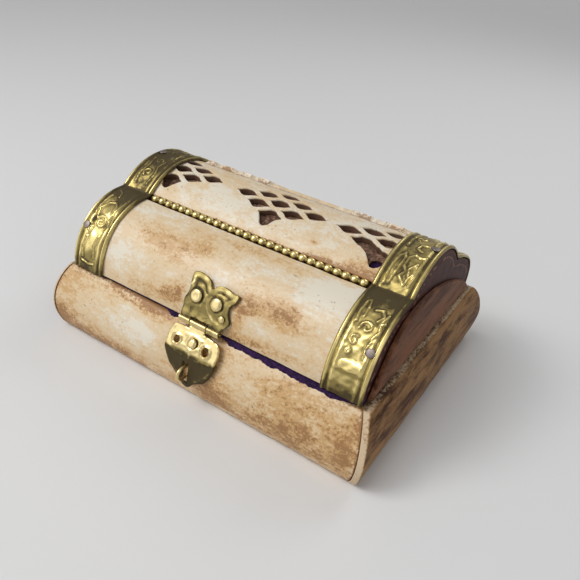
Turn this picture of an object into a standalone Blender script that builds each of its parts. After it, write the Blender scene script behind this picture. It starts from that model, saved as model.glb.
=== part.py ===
"""A small keepsake chest: bone plates on a wooden case, a three-lobed lid, brass straps and a hasp.

The origin is the centre of the underside. X runs along the length, Y towards the back, Z up.
Everything is modelled closed, at its real size, in metres.
"""
import math

import bmesh
import bpy
from mathutils import Vector
from mathutils.geometry import delaunay_2d_cdt

MM = 0.001

# Fits: the gap between touching pieces, and the play of a pin or nail in its hole
GAP = 0.3 * MM
HOLE_PLAY = 0.35 * MM

# Case: the outline at the seam, the height of the seam, and how far below it the rim lies
SEAM_DEPTH = 84.0 * MM
LID_LENGTH = 113.6 * MM
SEAM_HEIGHT = 25.5 * MM
RIM_LEFT_DROP = 0.9 * MM
RIM_RIGHT_DROP = 1.5 * MM
RIM_REAR_DROP = 0.8 * MM

# Case sides: how far the foot stands out, how far the belly swells, and how full it is
SIDE_LEAN = 3.7 * MM
SIDE_BELLY = 4.84 * MM
REAR_BELLY = 6.4 * MM
END_LEDGE = 2.8 * MM
END_LEAN = 1.1 * MM
END_BELLY = 3.25 * MM
BELLY_FULLNESS = 0.67
REAR_FULLNESS = 0.5

# Case thicknesses
SIDE_BONE = 2.6 * MM
END_BONE = 2.2 * MM
CASE_WOOD = 3.0 * MM
BOTTOM_WOOD = 3.0 * MM
VELVET = 0.8 * MM
FLOOR_VELVET = 1.2 * MM
VELVET_SETBACK = 0.4 * MM

# Lid: the front and rear steps between the lobes and the dome, as shares of half the depth, the
# step's and the crest's height over the seam, and how far the front lobe bows
FRONT_STEP_SHARE = 0.438
REAR_STEP_SHARE = 0.476
STEP_RISE = 21.5 * MM
CREST_RISE = 29.6 * MM
LOBE_BOW = 7.0 * MM

# Lid thicknesses
LID_BONE = 2.4 * MM
LID_WOOD = 2.6 * MM
BACKING = 0.6 * MM
END_BOARD = 6.0 * MM
LID_END_BONE = 1.5 * MM
LID_END_BONE_EDGE = 0.6 * MM
RIDGE_LAP = 2.5 * MM
RIDGE_FOOT = 1.5 * MM
DOME_JOINT = 8.5 * MM
REAR_PROUD = 0.9 * MM
REAR_PROUD_CLEAR = 0.4 * MM
REAR_PROUD_RUN = 0.7 * MM

# Fretwork: three lozenges of ogee holes. Along the lid, the middle of each, the length of its holes
# and their step are shares of half the bone's length. Over the dome, how far they lie in front of the
# crest, their step and widths and the broken place are shares of the crest's distance from the step
FRET_SHARES = ((-0.82, 0.164), (0.02, 0.162), (0.812, 0.176))
FRET_STEP_SHARE = 0.1347
FRET_FRONT_SHARE = 0.1957
FRET_ARC_SHARE = 0.1767
FRET_WIDTH_SHARE = 0.212
FRET_LOWEST_SHARE = 0.5327
BREAK_SHARE = 0.1305
FRET_OGEE = 0.11
FRET_MARGIN = 1.0 * MM

# Beaded wire in the groove at each step
BEAD_RADIUS = 1.35 * MM
BEAD_PITCH = 3.05 * MM
BEAD_RISE = 0.3 * MM
BEAD_SEAT = 1.9 * MM
BEAD_WAIST = 0.45

# Brass straps, their raised lines and nails
STRAP_WIDTH = 13.3 * MM
STRAP_SHEET = 0.6 * MM
STRAP_LINE_INSET = 0.7 * MM
STRAP_LINE_HALF = 0.6 * MM
STRAP_LINE_HEIGHT = 0.4 * MM
STRAP_NAIL_INSET = 2.2 * MM
STRAP_NAIL_ARC = 14.9 * MM
SMALL_HEAD_RADIUS = 1.1 * MM
SMALL_HEAD_HEIGHT = 0.5 * MM
SHANK_RADIUS = 0.45 * MM
STRAP_NAIL_LENGTH = 4.5 * MM

# Knuckles and pins of the hinges and the hasp
BARREL_RADIUS = 1.15 * MM
BARREL_BORE = 0.75 * MM
PIN_RADIUS = 0.45 * MM
PIN_PROUD = 0.4 * MM
KNUCKLE_PROUD = 0.05 * MM
PLATE_SHEET = 0.7 * MM

# Rear hinges: their axis outside and above the seam, and the leaves' rise to it
HINGE_OUT = 2.3 * MM
HINGE_RISE = 0.5 * MM
HINGE_TAB_RUN = 4.0 * MM
HINGE_TAB_CLEAR = 2.4 * MM
HINGE_FROM_STRAP = 3.5 * MM
HINGE_WIDTH = 16.0 * MM
HINGE_MIDDLE = 5.6 * MM
HINGE_LEAF_TOP = 11.0 * MM
HINGE_LEAF_FOOT = 10.0 * MM
HINGE_CASE_START = 1.6 * MM
HINGE_CASE_RUN = 3.0 * MM
HINGE_CASE_NOTCH = 3.6 * MM
HINGE_NAIL_X = 5.2 * MM
HINGE_NAIL_ARC = 7.4 * MM
HINGE_NAIL_LENGTH = 4.2 * MM

# Hasp: axis, knuckles, nails, the leaf's fold and slot, and the staple
HASP_OUT = 1.8 * MM
HASP_RISE = 1.2 * MM
HASP_TAB_RUN = 3.0 * MM
HASP_TAB_CLEAR = 2.9 * MM
HASP_LEFT = -7.0 * MM
HASP_RIGHT = 8.5 * MM
HASP_TAB_LEFT = -2.7 * MM
HASP_TAB_RIGHT = 4.0 * MM
EYE_HEAD_RADIUS = 2.1 * MM
EYE_HEAD_HEIGHT = 0.9 * MM
EYES = ((-2.8 * MM, 9.2 * MM), (5.0 * MM, 9.2 * MM))
EYE_NAIL_LENGTH = 5.0 * MM
TACK = (8.0 * MM, 5.8 * MM)
LEAF_SHOULDER = 2.0 * MM
LEAF_FOLD = (4.6 * MM, 7.6 * MM)
LEAF_HANG = (1.35 * MM, 9.1 * MM)
LEAF_HOLES = ((-5.1 * MM, 6.8 * MM, 1.1 * MM), (6.2 * MM, 6.7 * MM, 1.3 * MM))
RIVET = (1.1 * MM, 6.0 * MM)
RIVET_RADIUS = 1.6 * MM
RIVET_HEIGHT = 1.0 * MM
RIVET_TAIL_RADIUS = 0.9 * MM
RIVET_TAIL = 0.35 * MM
STAPLE_DROP = 13.7 * MM
STAPLE_SPREAD = 4.0 * MM
STAPLE_WIRE = 0.6 * MM
STAPLE_REACH = 5.1 * MM
STAPLE_ROOT = 4.5 * MM
SLOT_SIDE_PLAY = 0.5 * MM
SLOT_TOP_PLAY = 0.6 * MM
SLOT_FOOT_PLAY = 0.8 * MM

# Outlines chosen by hand, in millimetres: (back, up from the seam) for the rear lobe and the bone on
# the lid's ends, both stretched so that the lobe's foot stands on the seam, (across, up from the
# seam) for the hasp plate, (across, down from the hinge line) for the leaf
REAR_LOBE_OUTLINE = (
    (42.0, 0.0), (42.4, 3.6), (41.2, 7.6), (38.0, 11.4), (33.5, 14.2), (28.0, 16.9), (23.4, 18.5),
)
LID_END_OUTLINE = (
    (-39.6, 0.4), (-36.3, 6.0), (-32.0, 11.7), (-27.5, 15.9), (-22.5, 18.5), (-15.0, 19.7),
    (-6.0, 19.3), (3.0, 17.7), (13.0, 14.7), (23.0, 10.7), (32.5, 6.1), (40.6, 0.4),
)
OWL_OUTLINE = (
    (9.2, 2.9), (10.8, 5.2), (9.9, 7.4), (9.4, 9.9), (10.9, 11.8), (11.3, 14.0), (8.8, 14.3),
    (6.6, 14.8), (4.6, 14.8), (2.9, 14.1), (1.6, 12.9), (0.2, 14.8), (-2.0, 15.8), (-4.4, 16.1),
    (-6.6, 15.6), (-6.7, 13.4), (-6.1, 10.2), (-7.2, 7.0), (-7.2, 4.5),
)
LEAF_OUTLINE = (
    (6.0, 2.2), (8.5, 2.6), (9.8, 3.2), (10.4, 4.4), (10.9, 6.2), (10.7, 9.0), (10.6, 11.1),
    (10.0, 13.2), (8.7, 15.5), (7.7, 17.1), (5.9, 18.2), (4.4, 19.0), (3.3, 19.8), (2.6, 20.8),
    (1.5, 21.4), (0.2, 21.3), (-0.9, 20.7), (-1.8, 19.7), (-3.5, 18.4), (-5.3, 16.8), (-6.5, 15.9),
    (-8.0, 13.6), (-9.0, 11.1), (-9.1, 10.0), (-8.8, 8.7), (-8.9, 6.2), (-8.7, 4.9), (-8.1, 3.4),
    (-7.6, 2.1),
)

# Facets
CASE_STEPS = 12
LOBE_STEPS = 12
REAR_LOBE_STEPS = 2
DOME_STEPS = 14
ROUND_SIDES = 8
BARREL_SIDES = 12
LEAST = 0.0001 * MM
CREASE_SNAP = 0.005

# Sizes that follow from the ones above
HALF_DEPTH = SEAM_DEPTH / 2
HALF_LENGTH = LID_LENGTH / 2
FRONT_RIMS = {-1: SEAM_HEIGHT - RIM_LEFT_DROP, 1: SEAM_HEIGHT - RIM_RIGHT_DROP}
RIM_MIDDLE = (FRONT_RIMS[-1] + FRONT_RIMS[1]) / 2
RIM_REAR = SEAM_HEIGHT - RIM_REAR_DROP
WALL_Y = HALF_DEPTH - SIDE_BONE - GAP - CASE_WOOD
WALL_X = HALF_LENGTH + END_LEDGE - END_BONE - GAP - CASE_WOOD
FLOOR = BOTTOM_WOOD + GAP
BONE_HALF = HALF_LENGTH - END_BOARD - GAP
UNDER_BONE = LID_BONE + GAP
REAR_PROUD_HALF = HALF_LENGTH - STRAP_WIDTH - REAR_PROUD_CLEAR - REAR_PROUD_RUN
HINGE_CENTRE_X = HALF_LENGTH - STRAP_WIDTH - HINGE_FROM_STRAP - HINGE_WIDTH / 2
OUTLINE_STRETCH = HALF_DEPTH / REAR_LOBE_OUTLINE[0][0]
FRONT_STEP = FRONT_STEP_SHARE * HALF_DEPTH
REAR_STEP = REAR_STEP_SHARE * HALF_DEPTH
FRET_STEP_X = FRET_STEP_SHARE * BONE_HALF
FRET_IN_FRONT = FRET_FRONT_SHARE * FRONT_STEP
FRET_STEP_ARC = FRET_ARC_SHARE * FRONT_STEP
FRET_HOLE_WIDTH = FRET_WIDTH_SHARE * FRONT_STEP
FRET_LOWEST_WIDTH = FRET_LOWEST_SHARE * FRONT_STEP
BREAK_RADIUS = BREAK_SHARE * FRONT_STEP
CREST_HEIGHT = SEAM_HEIGHT + CREST_RISE
DOME_RISE = CREST_RISE - STEP_RISE
DOME_RADIUS = (FRONT_STEP ** 2 + DOME_RISE ** 2) / (2 * DOME_RISE)
HINGE_AXIS = Vector((HALF_DEPTH + HINGE_OUT, SEAM_HEIGHT + HINGE_RISE))
HASP_AXIS = Vector((-HALF_DEPTH - HASP_OUT, SEAM_HEIGHT + HASP_RISE))
BARREL_WALL = (BARREL_RADIUS + BARREL_BORE) / 2
HINGE_TAB_END = HINGE_RISE + BARREL_BORE
HASP_TAB_END = HASP_RISE + BARREL_BORE
HINGE_TAB_LIFT = HINGE_OUT - GAP - PLATE_SHEET / 2
HASP_TAB_LIFT = HASP_OUT - GAP - PLATE_SHEET / 2
HOLE_RADIUS = SHANK_RADIUS + HOLE_PLAY
STAPLE_HEIGHT = SEAM_HEIGHT - STAPLE_DROP


def clear_scene():
    """Removes what the scene holds."""
    for old in list(bpy.data.objects):
        bpy.data.objects.remove(old)


def material(name, colour, roughness, metallic):
    """Makes a plain finish."""
    finish = bpy.data.materials.new(name)
    finish.use_nodes = True
    shader = finish.node_tree.nodes["Principled BSDF"]
    shader.inputs["Base Color"].default_value = (*colour, 1.0)
    shader.inputs["Roughness"].default_value = roughness
    shader.inputs["Metallic"].default_value = metallic
    return finish


def add_object(name, mesh, finish, parent):
    """Closes a bmesh into an object that hangs on a parent and stays at the chest's origin."""
    bmesh.ops.remove_doubles(mesh, verts=mesh.verts[:], dist=LEAST)
    bmesh.ops.dissolve_degenerate(mesh, edges=mesh.edges[:], dist=LEAST)
    bmesh.ops.recalc_face_normals(mesh, faces=mesh.faces[:])
    bmesh.ops.triangulate(mesh, faces=mesh.faces[:])
    data = bpy.data.meshes.new(name)
    mesh.to_mesh(data)
    mesh.free()
    data.shade_smooth()
    data.set_sharp_from_angle(angle=math.radians(35.0))
    data.materials.append(finish)
    piece = bpy.data.objects.new(name, data)
    bpy.context.collection.objects.link(piece)
    if parent is not None:
        piece.parent = parent
        piece.location = -world_place(parent)
    return piece


def world_place(thing):
    """Adds up the places of an empty and of the empties that carry it."""
    place = thing.location.copy()
    if thing.parent is not None:
        place += world_place(thing.parent)
    return place


def add_empty(name, place, parent=None):
    """Makes the empty that carries a moving group, on its axis."""
    empty = bpy.data.objects.new(name, None)
    bpy.context.collection.objects.link(empty)
    empty.location = Vector(place)
    if parent is not None:
        empty.parent = parent
        empty.location = Vector(place) - world_place(parent)
    return empty


def combine(target, other, operation):
    """Cuts another object out of the target, or joins it on, and removes it."""
    cut = target.modifiers.new(operation.lower(), "BOOLEAN")
    cut.object = other
    cut.operation = operation
    cut.solver = "EXACT"
    bpy.context.view_layer.update()
    depsgraph = bpy.context.evaluated_depsgraph_get()
    result = bpy.data.meshes.new_from_object(target.evaluated_get(depsgraph))
    target.modifiers.clear()
    target.data = result
    bpy.data.objects.remove(other)


def arc_points(start, end, bow, steps):
    """Points of a circular arc in the side view, bowed outwards by the given height of its middle."""
    start = Vector(start)
    end = Vector(end)
    chord = end - start
    half = chord.length / 2
    radius = (half * half + bow * bow) / (2 * bow)
    outwards = Vector((-chord.y, chord.x)).normalized()
    centre = (start + end) / 2 + outwards * (bow - radius)
    sweep = 2 * math.asin(half / radius)
    across = chord.normalized()
    points = []
    for step in range(steps + 1):
        turn = sweep * (step / steps - 0.5)
        points.append(centre + radius * (outwards * math.cos(turn) + across * math.sin(turn)))
    return points


def smoothed(points, steps):
    """A smooth line through every point, with a number of steps from each to the next."""
    held = [points[0] * 2 - points[1], *points, points[-1] * 2 - points[-2]]
    line = []
    for before, first, second, after in zip(held, held[1:], held[2:], held[3:]):
        for step in range(steps):
            share = step / steps
            bend = (2 * before - 5 * first + 4 * second - after) * share ** 2
            twist = (3 * first - before - 3 * second + after) * share ** 3
            line.append((2 * first + (second - before) * share + bend + twist) / 2)
    return [*line, points[-1]]


class Path:
    """A line in the side view (back, up), along which sheet or bone is laid.

    Heights are measured square to the line, to its left as it runs, but level at an end that
    stands on the seam.
    """

    def __init__(self, points, level_start=False, level_end=False):
        self.points = [Vector(point) for point in points]
        self.lengths = [0.0]
        sides = []
        for first, second in zip(self.points, self.points[1:]):
            run = second - first
            self.lengths.append(self.lengths[-1] + run.length)
            sides.append(Vector((-run.y, run.x)).normalized())
        self.normals = [sides[0]]
        for first, second in zip(sides, sides[1:]):
            middle = (first + second).normalized()
            self.normals.append(middle / middle.dot(first))
        self.normals.append(sides[-1])
        if level_start:
            self.normals[0] = Vector((math.copysign(1.0, sides[0].x), 0.0))
        if level_end:
            self.normals[-1] = Vector((math.copysign(1.0, sides[-1].x), 0.0))

    @property
    def total(self):
        """The length of the whole line."""
        return self.lengths[-1]

    def place(self, arc, height=0.0):
        """The point at a length along the line and a height over it."""
        index = 0
        while index < len(self.points) - 2 and arc > self.lengths[index + 1]:
            index += 1
        share = (arc - self.lengths[index]) / (self.lengths[index + 1] - self.lengths[index])
        point = self.points[index].lerp(self.points[index + 1], share)
        normal = self.normals[index].lerp(self.normals[index + 1], share)
        return point + normal * height

    def normal(self, arc):
        """The direction square to the line at a length along it."""
        return (self.place(arc, MM) - self.place(arc)).normalized()

    def line(self, start, end, height):
        """The points of the line between two lengths, at one height over it."""
        stops = [start]
        stops += [stop for stop in self.lengths if start + LEAST < stop < end - LEAST]
        stops.append(end)
        return [self.place(stop, height) for stop in stops]


def mirrored(points):
    """The same line at the back of the chest, run the other way."""
    return [Vector((-point.x, point.y)) for point in reversed(points)]


def circle(centre_x, centre_arc, radius, sides=ROUND_SIDES):
    """A round hole in a sheet's outline."""
    turns = [2 * math.pi * (step + 0.5) / sides for step in range(sides)]
    return [(centre_x + radius * math.cos(turn), centre_arc + radius * math.sin(turn)) for turn in turns]


def rectangle(left, right, low, high):
    """A sheet's plain outline."""
    return [(left, low), (right, low), (right, high), (left, high)]


def laid_sheet(name, path, outline, inner, outer, finish, parent, holes=(), rows=(), columns=(), lift=None):
    """Cuts a sheet to an outline of (across, along) points with holes, and bends it along a path.

    The sheet lies between two heights over the path. It is creased where the path turns and at the
    extra rows and columns, and lift adds a height that may vary over it: lift(across, along, is_outer).
    """
    mesh = flat_sheet([outline, *holes], [*path.lengths, *rows], columns)
    added = bmesh.ops.extrude_face_region(mesh, geom=mesh.faces[:], use_keep_orig=True)
    outer_verts = {item for item in added["geom"] if isinstance(item, bmesh.types.BMVert)}
    for vert in mesh.verts:
        across = vert.co.x * MM
        along = vert.co.y * MM
        is_outer = vert in outer_verts
        height = outer if is_outer else inner
        if lift is not None:
            height += lift(across, along, is_outer)
        point = path.place(along, height)
        vert.co = (across, point.x, point.y)
    return add_object(name, mesh, finish, parent)


def flat_sheet(loops, rows, columns):
    """Triangles in millimetres that fill the first loop but not the others, with edges along the creases."""
    points = []
    edges = []
    for loop in loops:
        first = len(points)
        count = len(loop)
        points += [Vector((across / MM, along / MM)) for across, along in loop]
        edges += [(first + step, first + (step + 1) % count) for step in range(count)]
    boundary = [(points[first], points[second]) for first, second in edges]
    left = min(point.x for point in points) - 1.0
    right = max(point.x for point in points) + 1.0
    low = min(point.y for point in points) - 1.0
    high = max(point.y for point in points) + 1.0
    creases = [((left, row / MM), (right, row / MM)) for row in rows if low < row / MM < high]
    creases += [((column / MM, low), (column / MM, high)) for column in columns]
    for ends in creases:
        edges.append((len(points), len(points) + 1))
        points += [Vector(end) for end in ends]
    spots, _, triangles, *_ = delaunay_2d_cdt(points, edges, [], 0, CREASE_SNAP)
    mesh = bmesh.new()
    verts = [mesh.verts.new((spot.x, spot.y, 0.0)) for spot in spots]
    for triangle in triangles:
        middle = sum((spots[index] for index in triangle), Vector((0.0, 0.0))) / 3
        if crossings(middle, boundary) % 2:
            mesh.faces.new([verts[index] for index in triangle])
    bmesh.ops.delete(mesh, geom=[vert for vert in mesh.verts if not vert.link_faces], context="VERTS")
    return mesh


def crossings(point, edges):
    """How many edges a line from a point towards +X meets."""
    count = 0
    for first, second in edges:
        if (first.y > point.y) != (second.y > point.y):
            share = (point.y - first.y) / (second.y - first.y)
            count += first.x + (second.x - first.x) * share > point.x
    return count


def loft(name, rings, finish, parent, closed=False):
    """Skins rings of points that all have the same count, with flat ends unless it closes on itself."""
    mesh = bmesh.new()
    skin_rings(mesh, rings, closed)
    return add_object(name, mesh, finish, parent)


def skin_rings(mesh, rings, closed=False):
    """Adds a skin over rings of points to a bmesh."""
    verts = [[mesh.verts.new(point) for point in ring] for ring in rings]
    pairs = list(zip(verts, verts[1:]))
    if closed:
        pairs.append((verts[-1], verts[0]))
    for first, second in pairs:
        count = len(first)
        for step in range(count):
            ahead = (step + 1) % count
            mesh.faces.new((first[step], first[ahead], second[ahead], second[step]))
    if not closed:
        mesh.faces.new(verts[0])
        mesh.faces.new(list(reversed(verts[-1])))


def prism(name, section, left, right, finish, parent):
    """A board or bar of one section in the side view, from a left to a right end."""
    rings = [[(x, point[0], point[1]) for point in section] for x in (left, right)]
    return loft(name, rings, finish, parent)


def add_turned(mesh, place, direction, profile, sides=ROUND_SIDES):
    """Adds a turned solid to a bmesh: profile points are (radius, height) and start and end off the axis."""
    direction = Vector(direction).normalized()
    side = direction.cross(Vector((1.0, 0.0, 0.0)))
    if side.length < 0.5:
        side = direction.cross(Vector((0.0, 1.0, 0.0)))
    side.normalize()
    other = direction.cross(side)
    rings = []
    for radius, height in profile:
        ring = []
        for step in range(sides):
            turn = 2 * math.pi * (step + 0.5) / sides
            out = side * math.cos(turn) + other * math.sin(turn)
            ring.append(Vector(place) + direction * height + out * radius)
        rings.append(ring)
    skin_rings(mesh, rings)


def nail_profile(head_radius, head_height, length):
    """A domed head above height 0 and a pointed shank below it."""
    return [
        (0.35 * head_radius, head_height), (0.8 * head_radius, 0.7 * head_height),
        (head_radius, 0.2 * head_height), (head_radius, 0.0), (SHANK_RADIUS, 0.0),
        (SHANK_RADIUS, -length + SHANK_RADIUS), (0.4 * SHANK_RADIUS, -length),
    ]


def nails(names, places, head_radius, head_height, length, finish, parent):
    """Identical nails, which share one mesh that stands on Z."""
    mesh = bmesh.new()
    add_turned(mesh, (0.0, 0.0, 0.0), (0.0, 0.0, 1.0), nail_profile(head_radius, head_height, length))
    first = add_object(names[0], mesh, finish, parent)
    for name, (place, direction) in zip(names, places):
        nail = first
        if name != names[0]:
            nail = bpy.data.objects.new(name, first.data)
            bpy.context.collection.objects.link(nail)
            nail.parent = parent
        nail.location = place - world_place(parent)
        nail.rotation_euler = direction.to_track_quat("Z", "Y").to_euler()


def bore(target, places, length, radius=HOLE_RADIUS):
    """Drills round holes, from above each place down to just past a length."""
    mesh = bmesh.new()
    for place, direction in places:
        add_turned(mesh, place, direction, [(radius, MM), (radius, -length - GAP)])
    combine(target, add_object("drill", mesh, target.data.materials[0], None), "DIFFERENCE")


def barrel(left, right, axis):
    """A knuckle of a hinge: a tube on an axis along X, given by its place in the side view."""
    rings = []
    corners = ((BARREL_RADIUS, left), (BARREL_RADIUS, right), (BARREL_BORE, right), (BARREL_BORE, left))
    for radius, x in corners:
        ring = []
        for step in range(BARREL_SIDES):
            turn = 2 * math.pi * step / BARREL_SIDES
            ring.append((x, axis.x + radius * math.cos(turn), axis.y + radius * math.sin(turn)))
        rings.append(ring)
    return rings


def add_barrels(leaf, spans, axis):
    """Joins knuckles onto a hinge leaf, each a hair wider than its tab."""
    mesh = bmesh.new()
    for left, right in spans:
        skin_rings(mesh, barrel(left - KNUCKLE_PROUD, right + KNUCKLE_PROUD, axis), closed=True)
    combine(leaf, add_object("knuckles", mesh, leaf.data.materials[0], None), "UNION")


def pin(name, left, right, axis, finish, parent):
    """A hinge pin."""
    mesh = bmesh.new()
    place = (left, axis.x, axis.y)
    add_turned(mesh, place, (1.0, 0.0, 0.0), [(PIN_RADIUS, 0.0), (PIN_RADIUS, right - left)])
    return add_object(name, mesh, finish, parent)


# The case's sides in plan and height

def bulge(share, lean, belly, fullness=BELLY_FULLNESS):
    """How far a side stands out at a share of its height: a lean at the foot and a full belly."""
    return lean * (1.0 - share) + belly * math.sin(math.pi * min(max(share, 0.0), 1.0)) ** fullness


def side_out(share, side):
    """The outside face at the front (side -1) or the fuller rear (side 1), from the middle of the chest."""
    if side == 1:
        return HALF_DEPTH + bulge(share, SIDE_LEAN, REAR_BELLY, REAR_FULLNESS)
    return HALF_DEPTH + bulge(share, SIDE_LEAN, SIDE_BELLY)


def end_out(share):
    """The left and right outside face, from the middle of the chest."""
    return HALF_LENGTH + END_LEDGE + bulge(share, END_LEAN, END_BELLY)


def between_ends(share):
    """Half the length of the bone that stands between the ends' bone."""
    return end_out(share) - END_BONE - GAP


def rim(end, side):
    """The rim's height at a corner: at the front it falls a little from left to right."""
    return RIM_REAR if side == 1 else FRONT_RIMS[end]


def case_shares(start=0.0):
    """Shares of the rim's height, closest together at the foot and the rim."""
    shares = [0.5 - 0.5 * math.cos(math.pi * step / CASE_STEPS) for step in range(CASE_STEPS + 1)]
    return [start, *[share for share in shares if share > start + 0.02]]


def side_piece(name, side, start, outer_inset, thickness, length_at, finish, parent):
    """A front or rear piece of the case, from a height up to the rim.

    Its outer face lies outer_inset inside the bone's, its inner face follows at the given thickness,
    or stands upright where the thickness is None. length_at gives half its length at a share.
    """
    rings = []
    for end in (-1, 1):
        shares = case_shares(start / rim(end, side))
        outer = []
        inner = []
        for share in shares:
            x = end * length_at(share)
            z = share * rim(end, side)
            out = side_out(share, side) - outer_inset
            outer.append((x, side * out, z))
            back = WALL_Y if thickness is None else out - thickness
            inner.append((x, side * back, z))
        rings.append(outer + inner[::-1])
    return loft(name, rings, finish, parent)


def end_piece(name, end, start, outer_inset, thickness, side_inset, finish, parent):
    """A left or right piece of the case, as side_piece, reaching the front and rear less side_inset."""
    rings = []
    for side in (-1, 1):
        shares = case_shares(start / rim(end, side))
        outer = []
        inner = []
        for share in shares:
            y = side * (side_out(share, side) - side_inset)
            z = share * rim(end, side)
            out = end_out(share) - outer_inset
            outer.append((end * out, y, z))
            back = WALL_X if thickness is None else out - thickness
            inner.append((end * back, y, z))
        rings.append(outer + inner[::-1])
    return loft(name, rings, finish, parent)


def rear_path():
    """The rear face's line from the rim down to the foot."""
    return Path([(side_out(share, 1), share * RIM_REAR) for share in reversed(case_shares())])


# The lid's lines

def dome_points():
    """The dome's circular arc, from the front step over the crest to the lower rear step."""
    start = -math.asin(FRONT_STEP / DOME_RADIUS)
    end = math.asin(REAR_STEP / DOME_RADIUS)
    low = CREST_HEIGHT - DOME_RADIUS
    turns = [start + (end - start) * step / DOME_STEPS for step in range(DOME_STEPS + 1)]
    return [Vector((DOME_RADIUS * math.sin(turn), low + DOME_RADIUS * math.cos(turn))) for turn in turns]


def front_lobe_points():
    """The front lobe's circular arc, from the seam up to the front step."""
    step = (-FRONT_STEP, SEAM_HEIGHT + STEP_RISE)
    return arc_points((-HALF_DEPTH, SEAM_HEIGHT), step, LOBE_BOW, LOBE_STEPS)


def side_outline(outline, turn=1):
    """An outline's points in the side view, or turned to face the front where turn is -1."""
    return [Vector((turn * back * OUTLINE_STRETCH, SEAM_HEIGHT + up * MM)) for back, up in outline]


def rear_lobe_points():
    """The rear lobe's line up to the rear step, turned to face the front."""
    points = side_outline(REAR_LOBE_OUTLINE, -1)
    return smoothed([*points, mirrored(dome_points())[0]], REAR_LOBE_STEPS)


class LidSide:
    """A long side of the lid, facing the front: its lobe from the seam up, and the dome from its step on."""

    def __init__(self, lobe, dome):
        self.lobe = Path(lobe, level_start=True)
        self.dome = Path(dome)
        self.lobe_end = self.lobe.total - BEAD_SEAT

    def board(self):
        """The section of the curved board, whose ridge carries the beads and the dome."""
        lobe = self.lobe
        dome = self.dome
        groove = lobe.place(self.lobe_end).y - lobe.points[-1].y + BEAD_RADIUS + GAP - BEAD_RISE
        section = lobe.line(0.0, self.lobe_end + GAP, -UNDER_BONE)
        section.append(lobe.place(self.lobe_end + GAP, -groove))
        section.append(dome.place(BEAD_SEAT - GAP, -UNDER_BONE - GAP))
        section += dome.line(BEAD_SEAT, LAP_END, -UNDER_BONE)
        section.append(dome.place(LAP_END, -UNDER_BONE - BACKING))
        section += reversed(self.board_back())
        return section

    def board_back(self):
        """The inner line of the curved board, from the seam to the foot of its ridge."""
        return self.lobe.line(0.0, self.lobe_end - RIDGE_FOOT, -UNDER_BONE - LID_WOOD)


LAP_END = BEAD_SEAT + RIDGE_LAP
FRONT = LidSide(front_lobe_points(), dome_points())
REAR = LidSide(rear_lobe_points(), mirrored(dome_points()))
LOBE = FRONT.lobe
DOME = FRONT.dome
REAR_LOBE = Path(mirrored(REAR.lobe.points), level_end=True)
LID = Path(LOBE.points + DOME.points[1:] + REAR_LOBE.points[1:], level_start=True, level_end=True)
FRONT_TURN = math.asin(FRONT_STEP / DOME_RADIUS)
REAR_TURN = math.asin(REAR_STEP / DOME_RADIUS)
CREST = DOME.total * FRONT_TURN / (FRONT_TURN + REAR_TURN)


def spatial(path, x, arc, height):
    """A place over a path, and the direction out of it, in space."""
    point = path.place(arc, height)
    normal = path.normal(arc)
    return Vector((x, point.x, point.y)), Vector((0.0, normal.x, normal.y))


def lid_inner_line():
    """The hollow's line behind the wood and the backing, from the front seam to the rear seam."""
    dome = DOME.line(LAP_END, DOME.total - LAP_END, -UNDER_BONE - BACKING)
    return FRONT.board_back() + dome + mirrored(REAR.board_back())


def fret_hole(x, arc, length, low_width):
    """An ogee lozenge: each quarter swings in near the long tips and out near the short ones."""
    corners = ((1, 1, FRET_HOLE_WIDTH), (-1, 1, FRET_HOLE_WIDTH), (-1, -1, low_width), (1, -1, low_width))
    points = []
    for quarter, (right, back, width) in enumerate(corners):
        shares = [0.0, 1 / 3, 2 / 3]
        if quarter % 2:
            shares = [1.0, 2 / 3, 1 / 3]
        for share in shares:
            swing = share - FRET_OGEE * math.sin(2 * math.pi * share)
            points.append((x + right * length / 2 * (1.0 - share), arc + back * width / 2 * swing))
    return points


def fret_cluster(centre, length):
    """The holes of one lozenge that the straps leave room for, each with its place in the lozenge."""
    holes = {}
    for first in (-1, 0, 1):
        for second in (-1, 0, 1):
            x = centre + (first + second) * FRET_STEP_X
            arc = CREST - FRET_IN_FRONT + (first - second) * FRET_STEP_ARC
            lowest = first == -1 and second == 1
            width = FRET_LOWEST_WIDTH if lowest else FRET_HOLE_WIDTH
            if abs(x) + length / 2 < BONE_HALF - FRET_MARGIN:
                holes[first, second] = fret_hole(x, arc, length, width)
    return holes


def fret_holes():
    """All holes in the front bone of the dome. On the right the bridge behind the lowest one is broken."""
    clusters = [fret_cluster(middle * BONE_HALF, length * BONE_HALF) for middle, length in FRET_SHARES]
    broken = clusters[-1]
    upper = broken.pop((-1, 0))
    lowest = broken.pop((-1, 1))
    holes = [hole for cluster in clusters for hole in cluster.values()]
    return [*holes, upper[:10] + lowest[6:] + lowest[:4]]


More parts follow.
